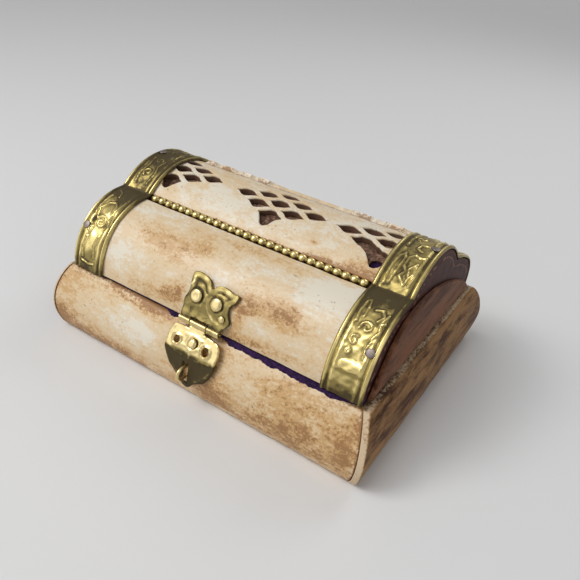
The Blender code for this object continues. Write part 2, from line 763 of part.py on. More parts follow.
def build_case(finishes, root):
    """The case: bottom, walls, bone plates and velvet."""
    bone, stained, wood, velvet = (finishes[key] for key in ("bone", "stained_bone", "wood", "velvet"))
    foot_x = end_out(0.0) - END_BONE - GAP
    foot_y = side_out(0.0, 1) - SIDE_BONE - GAP
    board = [(-foot_y, 0.0), (foot_y, 0.0), (foot_y, BOTTOM_WOOD), (-foot_y, BOTTOM_WOOD)]
    prism("bottom_board", board, -foot_x, foot_x, wood, root)
    pieces = {}
    for side, word in ((-1, "front"), (1, "rear")):
        pieces[f"{word}_bone"] = side_piece(
            f"{word}_bone", side, 0.0, 0.0, SIDE_BONE, between_ends, bone, root)
        pieces[f"{word}_wall"] = side_piece(
            f"{word}_wall", side, FLOOR, SIDE_BONE + GAP, None, lambda share: WALL_X - GAP, wood, root)
    for end, word in ((-1, "left"), (1, "right")):
        end_piece(f"{word}_bone", end, 0.0, 0.0, END_BONE, 0.0, stained, root)
        end_piece(f"{word}_wall", end, FLOOR, END_BONE + GAP, None, SIDE_BONE + GAP, wood, root)
    build_case_velvet(velvet, root)
    return pieces


def build_case_velvet(velvet, root):
    """The floor pad, and four wall pieces that fold over the rim and meet in mitres there."""
    out_y = WALL_Y - GAP
    out_x = WALL_X - GAP
    in_y = out_y - VELVET
    in_x = out_x - VELVET
    top = SEAM_HEIGHT - GAP
    edge_y = HALF_DEPTH - VELVET_SETBACK
    edge_x = HALF_LENGTH
    pad_y = in_y - GAP
    pad = [(-pad_y, FLOOR), (pad_y, FLOOR), (pad_y, FLOOR + FLOOR_VELVET), (-pad_y, FLOOR + FLOOR_VELVET)]
    prism("floor_velvet", pad, GAP - in_x, in_x - GAP, velvet, root)
    for side, word in ((-1, "front"), (1, "rear")):
        rings = []
        for end in (-1, 1):
            rest = rim(end, side) + GAP
            near = end * (in_x - GAP)
            far = end * (edge_x - GAP)
            rings.append([
                (near, side * out_y, FLOOR), (near, side * out_y, rest), (far, side * edge_y, rest),
                (far, side * edge_y, top), (near, side * in_y, top), (near, side * in_y, FLOOR),
            ])
        loft(f"{word}_velvet", rings, velvet, root)
    for end, word in ((-1, "left"), (1, "right")):
        rings = []
        for side in (-1, 1):
            rest = rim(end, side) + GAP
            near = side * (in_y - GAP)
            far = side * (edge_y - GAP)
            rings.append([
                (end * out_x, near, FLOOR), (end * out_x, near, rest), (end * edge_x, far, rest),
                (end * edge_x, far, top), (end * in_x, near, top), (end * in_x, near, FLOOR),
            ])
        loft(f"{word}_velvet", rings, velvet, root)


def staple_face():
    """How far out the case's front is at the staple."""
    return side_out(STAPLE_HEIGHT / RIM_MIDDLE, -1)


def staple_crown():
    """How far out the middle of the staple's round end is."""
    return staple_face() + STAPLE_REACH - STAPLE_SPREAD / 2 - STAPLE_WIRE


def build_staple(finishes, root, pieces):
    """The hasp's staple: a U of wire upright in the side view, through the front bone into the wall."""
    face = staple_face()
    crown = staple_crown()
    half = STAPLE_SPREAD / 2
    root_y = face - STAPLE_ROOT
    line = [(-root_y, STAPLE_HEIGHT + half), (-crown, STAPLE_HEIGHT + half)]
    for step in range(1, 6):
        turn = math.pi * step / 6
        line.append((-crown - half * math.sin(turn), STAPLE_HEIGHT + half * math.cos(turn)))
    line += [(-crown, STAPLE_HEIGHT - half), (-root_y, STAPLE_HEIGHT - half)]
    path = Path(line)
    rings = []
    for point, normal in zip(path.points, path.normals):
        ring = []
        for step in range(ROUND_SIDES):
            turn = 2 * math.pi * (step + 0.5) / ROUND_SIDES
            spot = point + normal * STAPLE_WIRE * math.cos(turn)
            ring.append((STAPLE_WIRE * math.sin(turn), spot.x, spot.y))
        rings.append(ring)
    loft("hasp_staple", rings, finishes["hasp_brass"], root)
    legs = [(Vector((0.0, -face, STAPLE_HEIGHT + rise)), Vector((0.0, -1.0, 0.0))) for rise in (-half, half)]
    bore(pieces["front_bone"], legs, STAPLE_ROOT, STAPLE_WIRE + HOLE_PLAY)
    bore(pieces["front_wall"], legs, STAPLE_ROOT, STAPLE_WIRE + HOLE_PLAY)


def build_lid_wood(finishes, lid):
    """The two end boards and the two curved boards whose ridges carry the beads and the dome."""
    pieces = {}
    for end, word in ((-1, "left"), (1, "right")):
        ends = sorted((end * (HALF_LENGTH - END_BOARD), end * HALF_LENGTH))
        pieces[f"lid_{word}_end"] = prism(
            f"lid_{word}_end", LID.points, *ends, finishes["stained_wood"], lid)
    for word, section in (("front", FRONT.board()), ("rear", mirrored(REAR.board()))):
        pieces[f"lid_{word}_board"] = prism(
            f"lid_{word}_board", section, -BONE_HALF, BONE_HALF, finishes["wood"], lid)
    return pieces


def build_lid_bone(finishes, lid):
    """The lobes' and the dome's bone, the fretwork's backing and the bone on the lid's ends."""
    bone = finishes["bone"]
    lobe = rectangle(-BONE_HALF, BONE_HALF, 0.0, FRONT.lobe_end)
    eyes = [circle(x, arc, HOLE_RADIUS) for x, arc in (*EYES, TACK)]
    laid_sheet("lid_front_bone", LOBE, lobe, -LID_BONE, 0.0, bone, lid, holes=eyes)
    rear = rectangle(-BONE_HALF, BONE_HALF, REAR_LOBE.total - REAR.lobe_end, REAR_LOBE.total)
    hinge_nails = [circle(x, REAR_LOBE.total - HINGE_NAIL_ARC, HOLE_RADIUS) for x in hinge_nail_xs()]
    laid_sheet("lid_rear_bone", REAR_LOBE, rear, -LID_BONE, 0.0, bone, lid, holes=hinge_nails)
    joint = CREST + DOME_JOINT
    pierced = rectangle(-BONE_HALF, BONE_HALF, BEAD_SEAT, joint - GAP / 2)
    laid_sheet("dome_front_bone", DOME, pierced, -LID_BONE, 0.0, bone, lid, holes=fret_holes())
    plain = rectangle(-BONE_HALF, BONE_HALF, joint + GAP / 2, DOME.total - BEAD_SEAT)
    edge = REAR_PROUD_HALF + REAR_PROUD_RUN
    laid_sheet("dome_rear_bone", DOME, plain, -LID_BONE, 0.0, bone, lid,
               columns=(-edge, -REAR_PROUD_HALF, REAR_PROUD_HALF, edge), lift=rear_proud)
    sheet = rectangle(-BONE_HALF, BONE_HALF, LAP_END + GAP, DOME.total - LAP_END - GAP)
    middle, _ = FRET_SHARES[-1]
    low_hole = CREST - FRET_IN_FRONT - 2 * FRET_STEP_ARC
    tear = circle(middle * BONE_HALF, low_hole - FRET_LOWEST_WIDTH / 4, BREAK_RADIUS)
    laid_sheet("fret_backing", DOME, sheet, -UNDER_BONE - BACKING, -UNDER_BONE, finishes["backing"], lid,
               holes=[tear])
    build_lid_end_bone(finishes["stained_bone"], lid)


def rear_proud(across, along, is_outer):
    """How far the rear bone of the dome stands over the front one: not under the straps."""
    share = (REAR_PROUD_HALF + REAR_PROUD_RUN - abs(across)) / REAR_PROUD_RUN
    return REAR_PROUD * min(max(share, 0.0), 1.0) if is_outer else 0.0


def build_lid_end_bone(stained, lid):
    """A flat plate with a worn edge on each end of the lid."""
    outline = side_outline(LID_END_OUTLINE)
    middle = sum(outline, Vector((0.0, 0.0))) / len(outline)
    inset = []
    for point in outline:
        towards = (middle - point).normalized()
        inset.append(point + towards * LID_END_BONE_EDGE)
    foot = HALF_LENGTH + GAP
    face = foot + LID_END_BONE
    levels = ((foot, outline), (face - LID_END_BONE_EDGE, outline), (face, inset))
    for end, word in ((-1, "left"), (1, "right")):
        rings = [[(end * x, point.x, point.y) for point in points] for x, points in levels]
        loft(f"lid_{word}_end_bone", rings, stained, lid)


def build_beads(brass, lid):
    """A beaded wire along each step, between the straps."""
    room = HALF_LENGTH - STRAP_WIDTH - GAP
    count = int(2 * room / BEAD_PITCH)
    stations = ((-0.5, BEAD_WAIST), (-0.3, 0.9), (0.0, 1.0), (0.3, 0.9))
    for word, groove in (("front", LOBE.points[-1]), ("rear", REAR_LOBE.points[0])):
        rings = []
        for bead in range(count):
            middle = (bead - (count - 1) / 2) * BEAD_PITCH
            rings += [bead_ring(middle + shift * BEAD_PITCH, share, groove) for shift, share in stations]
        rings.append(bead_ring(count / 2 * BEAD_PITCH, BEAD_WAIST, groove))
        loft(f"{word}_bead_row", rings, brass, lid)


def bead_ring(x, share, groove):
    """One ring of a beaded wire in its groove, at a share of the bead's radius."""
    ring = []
    for step in range(ROUND_SIDES - 2):
        turn = 2 * math.pi * step / (ROUND_SIDES - 2)
        out = BEAD_RADIUS * share
        ring.append((x, groove.x + out * math.cos(turn), groove.y + BEAD_RISE + out * math.sin(turn)))
    return ring


def build_straps(finishes, lid, pieces):
    """A strap of sheet brass over each end of the lid, with a raised line near both edges, nailed down."""
    lines = (STRAP_LINE_INSET, STRAP_WIDTH - STRAP_LINE_INSET)
    for end, word in ((-1, "left"), (1, "right")):
        inner_edge = HALF_LENGTH - STRAP_WIDTH

        def raised(across, along, is_outer, inner_edge=inner_edge):
            """The raised lines' height."""
            from_edge = abs(across) - inner_edge
            near = min(abs(from_edge - line) for line in lines)
            if not is_outer or near > STRAP_LINE_HALF / 2:
                return 0.0
            return STRAP_LINE_HEIGHT

        creases = [end * (inner_edge + line + shift)
                   for line in lines for shift in (-STRAP_LINE_HALF, 0.0, STRAP_LINE_HALF)]
        nail_x = end * (HALF_LENGTH - STRAP_NAIL_INSET)
        arcs = (STRAP_NAIL_ARC, LOBE.total + CREST, LID.total - STRAP_NAIL_ARC)
        sides = sorted((end * inner_edge, end * HALF_LENGTH))
        laid_sheet(f"{word}_strap", LID, rectangle(*sides, 0.0, LID.total), GAP, GAP + STRAP_SHEET,
                   finishes["strap_brass"], lid, holes=[circle(nail_x, arc, HOLE_RADIUS) for arc in arcs],
                   columns=creases, lift=raised)
        own = [spatial(LID, nail_x, arc, 2 * GAP + STRAP_SHEET) for arc in arcs]
        bore(pieces[f"lid_{word}_end"], own, STRAP_NAIL_LENGTH)
        names = [f"{word}_strap_{row}_nail" for row in ("front", "top", "rear")]
        nails(names, own, SMALL_HEAD_RADIUS, SMALL_HEAD_HEIGHT, STRAP_NAIL_LENGTH, finishes["steel"], lid)


def build_lid_velvet(velvet, lid):
    """The arch of velvet behind the wood and the backing, and a pad on each end board."""
    inner = lid_inner_line()
    pad_out = BONE_HALF
    pad_in = pad_out - VELVET
    arch_half = pad_in - GAP
    path = Path(inner, level_start=True, level_end=True)
    laid_sheet("lid_velvet", path, rectangle(-arch_half, arch_half, 0.0, path.total), -GAP - VELVET, -GAP,
               velvet, lid)
    outline = path.line(0.0, path.total, -GAP)
    for end, word in ((-1, "left"), (1, "right")):
        prism(f"lid_{word}_velvet", outline, *sorted((end * pad_in, end * pad_out)), velvet, lid)


def standing_off(height, start, run):
    """A leaf's lift towards its knuckles: the whole height at the start, none past the run."""
    def lift(across, along, is_outer):
        """The lift at one place."""
        share = min(max(1.0 - (along - start) / run, 0.0), 1.0)
        return height * share * share * (3.0 - 2.0 * share)
    return lift


def run_rows(start, run):
    """Creases that round off a leaf's rise to its knuckles."""
    return [start + run * step / 5 for step in range(1, 6)]


def hinge_nail_xs():
    """The nails of the rear hinges, from left to right."""
    return [end * HINGE_CENTRE_X + side * HINGE_NAIL_X for end in (-1, 1) for side in (-1, 1)]


def build_rear_hinges(finishes, lid, root, pieces):
    """Two butt hinges nailed on the back: the lid's leaf has the middle knuckle, the case's the others."""
    brass = finishes["hinge_brass"]
    half = HINGE_WIDTH / 2
    middle = HINGE_MIDDLE / 2
    lobe = Path([Vector((-point.x, point.y)) for point in REAR.lobe.points], level_start=True)
    for end, word in ((-1, "left"), (1, "right")):
        centre = end * HINGE_CENTRE_X
        tab = (centre - middle, centre + middle)
        outline = [
            (tab[0], HINGE_TAB_END), (tab[1], HINGE_TAB_END), (tab[1], HINGE_TAB_CLEAR),
            (centre + half, HINGE_TAB_CLEAR), (centre + half, HINGE_LEAF_TOP),
            (centre - half, HINGE_LEAF_TOP), (centre - half, HINGE_TAB_CLEAR), (tab[0], HINGE_TAB_CLEAR),
        ]
        holes = [circle(centre + side * HINGE_NAIL_X, HINGE_NAIL_ARC, HOLE_RADIUS) for side in (-1, 1)]
        leaf = laid_sheet(f"{word}_hinge_lid_leaf", lobe, outline, -GAP, -GAP - PLATE_SHEET, brass, lid,
                          holes=holes, rows=run_rows(HINGE_TAB_END, HINGE_TAB_RUN),
                          lift=standing_off(-HINGE_TAB_LIFT, HINGE_TAB_END, HINGE_TAB_RUN))
        add_barrels(leaf, [tab], HINGE_AXIS)
        knuckles = [(centre - half, tab[0] - GAP), (tab[1] + GAP, centre + half)]
        outline = [
            (centre - half, HINGE_CASE_START), (tab[0] - GAP, HINGE_CASE_START),
            (tab[0] - GAP, HINGE_CASE_NOTCH), (tab[1] + GAP, HINGE_CASE_NOTCH),
            (tab[1] + GAP, HINGE_CASE_START), (centre + half, HINGE_CASE_START),
            (centre + half, HINGE_LEAF_FOOT), (centre - half, HINGE_LEAF_FOOT),
        ]
        path = rear_path()
        start = path.place(HINGE_CASE_START, GAP + PLATE_SHEET / 2)
        stand_off = (start - HINGE_AXIS).length - BARREL_WALL
        leaf = laid_sheet(
            f"{word}_hinge_case_leaf", path, outline, GAP, GAP + PLATE_SHEET, brass, root, holes=holes,
            rows=run_rows(HINGE_CASE_START, HINGE_CASE_RUN),
            lift=standing_off(stand_off, HINGE_CASE_START, HINGE_CASE_RUN))
        add_barrels(leaf, knuckles, HINGE_AXIS)
        reach = half + PIN_PROUD
        pin(f"{word}_hinge_pin", centre - reach, centre + reach, HINGE_AXIS, brass, root)
    head = 2 * GAP + PLATE_SHEET
    on_lid = [spatial(REAR_LOBE, x, REAR_LOBE.total - HINGE_NAIL_ARC, head) for x in hinge_nail_xs()]
    on_case = [spatial(rear_path(), x, HINGE_NAIL_ARC, head) for x in hinge_nail_xs()]
    bore(pieces["lid_rear_board"], on_lid, HINGE_NAIL_LENGTH)
    bore(pieces["rear_bone"], on_case, HINGE_NAIL_LENGTH)
    bore(pieces["rear_wall"], on_case, HINGE_NAIL_LENGTH)
    numbers = range(1, len(on_lid) + 1)
    nails([f"lid_hinge_nail_{number}" for number in numbers], on_lid,
          SMALL_HEAD_RADIUS, SMALL_HEAD_HEIGHT, HINGE_NAIL_LENGTH, brass, lid)
    nails([f"case_hinge_nail_{number}" for number in numbers], on_case,
          SMALL_HEAD_RADIUS, SMALL_HEAD_HEIGHT, HINGE_NAIL_LENGTH, brass, root)


def build_hasp_plate(finishes, lid, pieces):
    """The owl-shaped plate on the lid, with two knuckles, two large nails for eyes and a tack."""
    brass = finishes["hasp_brass"]
    outline = [(x * MM, arc * MM) for x, arc in OWL_OUTLINE]
    outline += [
        (HASP_LEFT, HASP_TAB_CLEAR), (HASP_LEFT, HASP_TAB_END), (HASP_TAB_LEFT, HASP_TAB_END),
        (HASP_TAB_LEFT, HASP_TAB_CLEAR), (HASP_TAB_RIGHT, HASP_TAB_CLEAR), (HASP_TAB_RIGHT, HASP_TAB_END),
        (HASP_RIGHT, HASP_TAB_END),
    ]
    holes = [circle(x, arc, HOLE_RADIUS) for x, arc in (*EYES, TACK)]
    plate = laid_sheet("hasp_plate", LOBE, outline, GAP, GAP + PLATE_SHEET, brass, lid, holes=holes,
                       rows=run_rows(HASP_TAB_END, HASP_TAB_RUN),
                       lift=standing_off(HASP_TAB_LIFT, HASP_TAB_END, HASP_TAB_RUN))
    add_barrels(plate, [(HASP_LEFT, HASP_TAB_LEFT), (HASP_TAB_RIGHT, HASP_RIGHT)], HASP_AXIS)
    head = 2 * GAP + PLATE_SHEET
    eyes = [spatial(LOBE, x, arc, head) for x, arc in EYES]
    tack = [spatial(LOBE, *TACK, head)]
    bore(pieces["lid_front_board"], eyes + tack, EYE_NAIL_LENGTH)
    nails(["hasp_left_nail", "hasp_right_nail"], eyes,
          EYE_HEAD_RADIUS, EYE_HEAD_HEIGHT, EYE_NAIL_LENGTH, brass, lid)
    nails(["hasp_tack"], tack, SMALL_HEAD_RADIUS, SMALL_HEAD_HEIGHT, EYE_NAIL_LENGTH, brass, lid)
    pin("hasp_pin", HASP_LEFT - PIN_PROUD, HASP_RIGHT + PIN_PROUD, HASP_AXIS, brass, lid)


def build_hasp_leaf(finishes, hasp):
    """The slotted leaf: it slants out from its knuckle, folds, and hangs down over the staple."""
    brass = finishes["hasp_brass"]
    fold = HASP_AXIS - Vector(LEAF_FOLD)
    path = Path([HASP_AXIS, fold, fold - 2 * Vector(LEAF_HANG)])
    left = HASP_TAB_LEFT + GAP
    right = HASP_TAB_RIGHT - GAP
    neck = BARREL_WALL
    outline = [(right, neck), (right, LEAF_SHOULDER), *[(x * MM, arc * MM) for x, arc in LEAF_OUTLINE]]
    outline += [(left, LEAF_SHOULDER), (left, neck)]
    around = STAPLE_SPREAD / 2 + STAPLE_WIRE
    swing = (Vector((-staple_crown(), STAPLE_HEIGHT)) - HASP_AXIS).length + around
    slot_top = path.lengths[1] + fold.y - STAPLE_HEIGHT - around - SLOT_TOP_PLAY
    slot_half = STAPLE_WIRE + SLOT_SIDE_PLAY
    holes = [circle(x, arc, radius, 12) for x, arc, radius in LEAF_HOLES]
    holes.append(circle(*RIVET, HOLE_RADIUS))
    holes.append(rectangle(-slot_half, slot_half, slot_top, swing + SLOT_FOOT_PLAY))
    half = PLATE_SHEET / 2
    leaf = laid_sheet("hasp_leaf", path, outline, half, -half, brass, hasp, holes=holes)
    add_barrels(leaf, [(left, right)], HASP_AXIS)
    mesh = bmesh.new()
    place, inwards = spatial(path, *RIVET, 0.0)
    front = half + GAP
    profile = [
        (0.35 * RIVET_RADIUS, front + RIVET_HEIGHT), (0.8 * RIVET_RADIUS, front + 0.7 * RIVET_HEIGHT),
        (RIVET_RADIUS, front + 0.15 * RIVET_HEIGHT), (RIVET_RADIUS, front), (SHANK_RADIUS, front),
        (SHANK_RADIUS, -front), (RIVET_TAIL_RADIUS, -front), (RIVET_TAIL_RADIUS, -front - RIVET_TAIL),
    ]
    add_turned(mesh, place, -inwards, profile, BARREL_SIDES)
    add_object("hasp_rivet", mesh, brass, hasp)


def main():
    """Builds the chest."""
    clear_scene()
    finishes = {
        "bone": material("bone", (0.80, 0.68, 0.48), 0.45, 0.0),
        "stained_bone": material("stained_bone", (0.36, 0.20, 0.09), 0.5, 0.0),
        "wood": material("wood", (0.30, 0.16, 0.08), 0.7, 0.0),
        "stained_wood": material("stained_wood", (0.13, 0.035, 0.025), 0.5, 0.0),
        "backing": material("backing", (0.14, 0.06, 0.035), 0.8, 0.0),
        "velvet": material("velvet", (0.09, 0.03, 0.22), 0.95, 0.0),
        "strap_brass": material("strap_brass", (0.60, 0.52, 0.20), 0.3, 1.0),
        "hasp_brass": material("hasp_brass", (0.60, 0.50, 0.22), 0.35, 1.0),
        "bead_brass": material("bead_brass", (0.62, 0.50, 0.22), 0.35, 1.0),
        "hinge_brass": material("hinge_brass", (0.58, 0.47, 0.22), 0.4, 1.0),
        "steel": material("steel", (0.45, 0.42, 0.40), 0.4, 1.0),
    }
    root = add_empty("case_frame", (0.0, 0.0, 0.0))
    lid = add_empty("lid_axis", (0.0, *HINGE_AXIS), root)
    hasp = add_empty("hasp_axis", (0.0, *HASP_AXIS), lid)
    pieces = build_case(finishes, root)
    pieces.update(build_lid_wood(finishes, lid))
    build_lid_bone(finishes, lid)
    build_beads(finishes["bead_brass"], lid)
    build_straps(finishes, lid, pieces)
    build_lid_velvet(finishes["velvet"], lid)
    build_staple(finishes, root, pieces)
    build_rear_hinges(finishes, lid, root, pieces)
    build_hasp_plate(finishes, lid, pieces)
    build_hasp_leaf(finishes, hasp)


main()
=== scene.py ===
"""Dresses the small keepsake chest: bone on a wooden case, a three-lobed lid, brass straps and a hasp.

The shapes are worked out in millimetres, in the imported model's frame (X along the length, Y towards
the back, Z up), and become metres when a mesh is made.
"""
import logging
from dataclasses import dataclass, field
from enum import Enum
from typing import Callable, Mapping, Sequence, Union

import bmesh
import bpy
import numpy as np
from mathutils import Matrix, Vector
from mathutils.geometry import delaunay_2d_cdt


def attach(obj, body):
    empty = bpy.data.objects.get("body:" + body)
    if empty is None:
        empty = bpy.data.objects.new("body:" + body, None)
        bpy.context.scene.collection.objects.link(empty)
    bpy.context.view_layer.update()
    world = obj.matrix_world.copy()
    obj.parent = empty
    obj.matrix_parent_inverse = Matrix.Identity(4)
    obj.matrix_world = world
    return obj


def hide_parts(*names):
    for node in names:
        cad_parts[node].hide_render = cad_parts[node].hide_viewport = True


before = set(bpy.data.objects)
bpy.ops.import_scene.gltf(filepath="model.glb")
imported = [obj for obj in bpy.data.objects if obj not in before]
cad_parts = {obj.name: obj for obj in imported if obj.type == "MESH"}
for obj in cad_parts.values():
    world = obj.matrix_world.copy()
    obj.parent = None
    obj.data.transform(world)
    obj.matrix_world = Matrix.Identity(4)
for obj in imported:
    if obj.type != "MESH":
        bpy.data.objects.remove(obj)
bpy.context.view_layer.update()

MM = 0.001
CREASE = 42.0
SOFT_CREASE = 60.0
MERGED = 1e-7
log = logging.getLogger("chest")

Grid = np.ndarray
Finish = bpy.types.Material
Thing = bpy.types.Object
Colour = tuple[float, float, float]
Stretch = tuple[float, float, float]
Field = Callable[[Grid, Grid], Grid]
Place = Callable[[Grid, Grid, Grid], Grid]
EVEN: Stretch = (1.0, 1.0, 1.0)


class Body(Enum):
    """The bodies that pieces ride on."""

    CASE = "root"
    LID = "lid"
    HASP = "hasp"


class Way(Enum):
    """One of two opposite ways, its value being the sign along an axis."""

    @property
    def word(self) -> str:
        """The way's name in lower case."""
        return self.name.lower()


class End(Way):
    """The two ends of the chest, with the sign of X there."""

    LEFT = -1
    RIGHT = 1


class Side(Way):
    """The two long sides of the chest, with the sign of Y there."""

    FRONT = -1
    REAR = 1


# Shader graphs

def operator(operation: str, reflected: bool = False) -> Callable[["Wire", "Value"], "Wire"]:
    """An arithmetic operator of Wire, which adds a Math node, or its reflected form."""
    def apply(self: "Wire", other: "Value") -> "Wire":
        """Adds the node and gives the wire from it."""
        first, second = (other, self) if reflected else (self, other)
        return self.graph.node("ShaderNodeMath", {"operation": operation}, {0: first, 1: second})
    return apply


class Wire:
    """A shader value that is added, subtracted and multiplied as a number is."""

    def __init__(self, graph: "Graph", socket: bpy.types.NodeSocket) -> None:
        """Wraps an output socket of a graph."""
        self.graph = graph
        self.socket = socket

    __add__, __radd__ = operator("ADD"), operator("ADD", True)
    __sub__, __rsub__ = operator("SUBTRACT"), operator("SUBTRACT", True)
    __mul__, __rmul__ = operator("MULTIPLY"), operator("MULTIPLY", True)

    def step(self, low: float, high: float) -> "Wire":
        """A smooth step from 0 at low to 1 at high."""
        return self.graph.node("ShaderNodeMapRange", {"interpolation_type": "SMOOTHSTEP"},
                               {0: self, 1: low, 2: high})


Value = Union[Wire, float]


class Graph:
    """The nodes of one material, or of the world."""

    def __init__(self, name: str, world: bool = False) -> None:
        """Starts a material with one Principled shader, or a world with one Background shader."""
        self.owner = (bpy.data.worlds if world else bpy.data.materials).new(name)
        self.owner.use_nodes = True
        self.tree = self.owner.node_tree
        self.shader = self.tree.nodes["Background" if world else "Principled BSDF"]

    def feed(self, made: bpy.types.Node, sockets: Mapping) -> None:
        """Sets a node's inputs, named or numbered, to values or wires."""
        for key, value in sockets.items():
            if isinstance(value, Wire):
                self.tree.links.new(value.socket, made.inputs[key])
            else:
                made.inputs[key].default_value = value

    def node(self, kind: str, settings: Mapping, sockets: Mapping, output: Union[int, str] = 0) -> Wire:
        """Adds any node.

        Args:
            kind: The node's type.
            settings: What is set on the node first, such as its operation.
            sockets: Values or wires by input name or number.
            output: Which output the wire leaves from.

        Returns:
            The wire from that output.
        """
        made = self.tree.nodes.new(kind)
        for key, value in settings.items():
            setattr(made, key, value)
        self.feed(made, sockets)
        return Wire(self, made.outputs[output])

    def place(self, stretch: Stretch = EVEN, shift: float = 0.0, turn: float = 0.0) -> Wire:
        """Object coordinates, turned aslant, then stretched and shifted along each axis."""
        spot = self.node("ShaderNodeTexCoord", {}, {}, "Object")
        if turn:
            spot = self.node("ShaderNodeMapping", {}, {0: spot, 2: (0.0, turn, turn)})
        return self.node("ShaderNodeMapping", {}, {0: spot, 1: (shift,) * 3, 3: stretch})

    def noise(self, size: float, detail: float, rough: float, warp: float = 0.0,
              stretch: Stretch = EVEN, shift: float = 0.0, turn: float = 0.0) -> Wire:
        """Cloudy noise from 0 to 1.

        Args:
            size: The clouds' size in millimetres.
            detail: How many finer layers it has.
            rough: How strong they are.
            warp: How much it is distorted.
            stretch: Scale along each axis; below 1 draws the clouds out.
            shift: Moves the pattern, in metres.
            turn: Turns the pattern aslant, in radians.

        Returns:
            The noise value.
        """
        return self.node("ShaderNodeTexNoise", {}, {
            "Vector": self.place(stretch, shift, turn), "Scale": 1.0 / MM / size, "Detail": detail,
            "Roughness": rough, "Distortion": warp})

    def cells(self, size: float, shift: float = 0.0, stretch: Stretch = EVEN) -> Wire:
        """The distance to the nearest of scattered points, a cell being about size millimetres."""
        return self.node("ShaderNodeTexVoronoi", {"feature": "F1"}, {
            "Vector": self.place(stretch, shift), "Scale": 1.0 / MM / size, "Randomness": 1.0})

    def attribute(self, name: str) -> Wire:
        """A number that the mesh carries at each point."""
        return self.node("ShaderNodeAttribute", {"attribute_name": name}, {}, "Fac")

    def mix(self, share: Value, first: Union[Wire, Colour], second: Union[Wire, Colour]) -> Wire:
        """A colour between two."""
        ends = [end if isinstance(end, Wire) else (*end, 1.0) for end in (first, second)]
        return self.node("ShaderNodeMix", {"data_type": "RGBA", "clamp_factor": True},
                         {0: share, 6: ends[0], 7: ends[1]}, 2)

    def bump(self, height: Wire, depth: float, strength: float) -> Wire:
        """A bumped normal, depth being in millimetres."""
        return self.node("ShaderNodeBump", {}, {
            "Height": height, "Strength": strength, "Distance": depth * MM})

    def finish(self, **sockets: Union[Wire, float, Sequence[float]]) -> bpy.types.ID:
        """Sets the shader's sockets, named with _ for a space, and returns the material or world."""
        self.feed(self.shader, {key.replace("_", " "): value for key, value in sockets.items()})
        return self.owner


@dataclass(frozen=True)
class BoneFinish:
    """Pale bone, honey-brown where the stain has kept to edges and hollows, with fine dark pits."""

    name: str = "aged_bone"
    pale: Colour = (0.80, 0.73, 0.60)
    cream: Colour = (0.74, 0.56, 0.34)
    honey: Colour = (0.60, 0.355, 0.135)
    brown: Colour = (0.30, 0.135, 0.042)
    pit: Colour = (0.12, 0.055, 0.025)
    # The colour of the painted shade on the inner side and in the holes.
    hollow: Colour = (0.14, 0.075, 0.048)

    def build(self) -> Finish:
        """Makes the material: cream clouds, honey by the stain, brown cores, streaks, pits and painted
        shade in the holes.
        """
        graph = Graph(self.name)
        stain = graph.attribute("stain")
        edge = graph.attribute("edge")
        clouds = graph.noise(16.0, 4.0, 0.62, 0.8)
        mottle = graph.noise(3.6, 7.0, 0.72, 0.25, stretch=(0.6, 1.0, 1.0), shift=0.3)
        fine = graph.noise(0.9, 5.0, 0.7, shift=0.7)
        streaks = graph.noise(1.5, 5.0, 0.68, 0.4, stretch=(0.2, 1.0, 1.0), shift=0.1)
        feather = graph.noise(1.1, 6.0, 0.75, 0.5, stretch=(0.45, 1.0, 1.0), shift=0.6)
        strokes = graph.noise(0.9, 5.0, 0.7, 0.5, stretch=(0.2, 1.0, 1.0), shift=0.35, turn=0.75)
        tint = ((clouds - 0.5) * 1.4 + (mottle - 0.5) * 1.5 + (streaks - 0.5) * 0.9
                + (feather - 0.5) * 0.8 + (strokes - 0.5) * 1.1)
        broken = stain * (0.3 + mottle + (feather - 0.5) * 1.3)
        warm = (tint + stain * 0.9 + (fine - 0.5) * 0.7).step(-0.4, 0.22)
        colour = graph.mix(warm, self.pale, self.cream)
        dyed = (broken + tint * 0.8 + (fine - 0.5) * 1.1).step(0.2, 0.72)
        colour = graph.mix(dyed * 0.9, colour, self.honey)
        # The edge attribute browns the bone along borders and joints; round the owl plate it is partly
        # painted shadow.
        cores = (broken * 0.9 + edge * 0.62 + (mottle - 0.5) * 1.3 + (fine - 0.5) * 1.7).step(0.6, 0.95)
        colour = graph.mix(cores * 0.8, colour, self.brown)
        thin = graph.noise(9.0, 2.0, 0.5, shift=0.9).step(0.48, 0.7)
        pits = (1.0 - graph.cells(1.9, 0.2).step(0.10, 0.22)) * thin
        dashes = (1.0 - graph.cells(2.6, 0.5, stretch=(0.35, 1.0, 1.0)).step(0.06, 0.16)) * thin
        colour = graph.mix((pits + dashes * 0.8) * 0.62, colour, self.pit)
        # Painted shade: the inner side and the holes' walls, where deep is 1, take the dark hollow colour.
        inside = (graph.attribute("deep") + (fine - 0.5) * 0.08).step(0.05, 0.2)
        colour = graph.mix(inside, colour, self.hollow)
        height = fine * 0.25 + streaks * 0.5 + strokes * 0.4 + mottle * 0.35 - (pits + dashes) * 0.8
        rough = 0.34 + mottle * 0.22 + cores * 0.15
        return graph.finish(Base_Color=colour, Roughness=rough, Normal=graph.bump(height, 0.09, 0.55),
                            Specular_IOR_Level=0.5, Coat_Weight=0.12, Coat_Roughness=0.25)


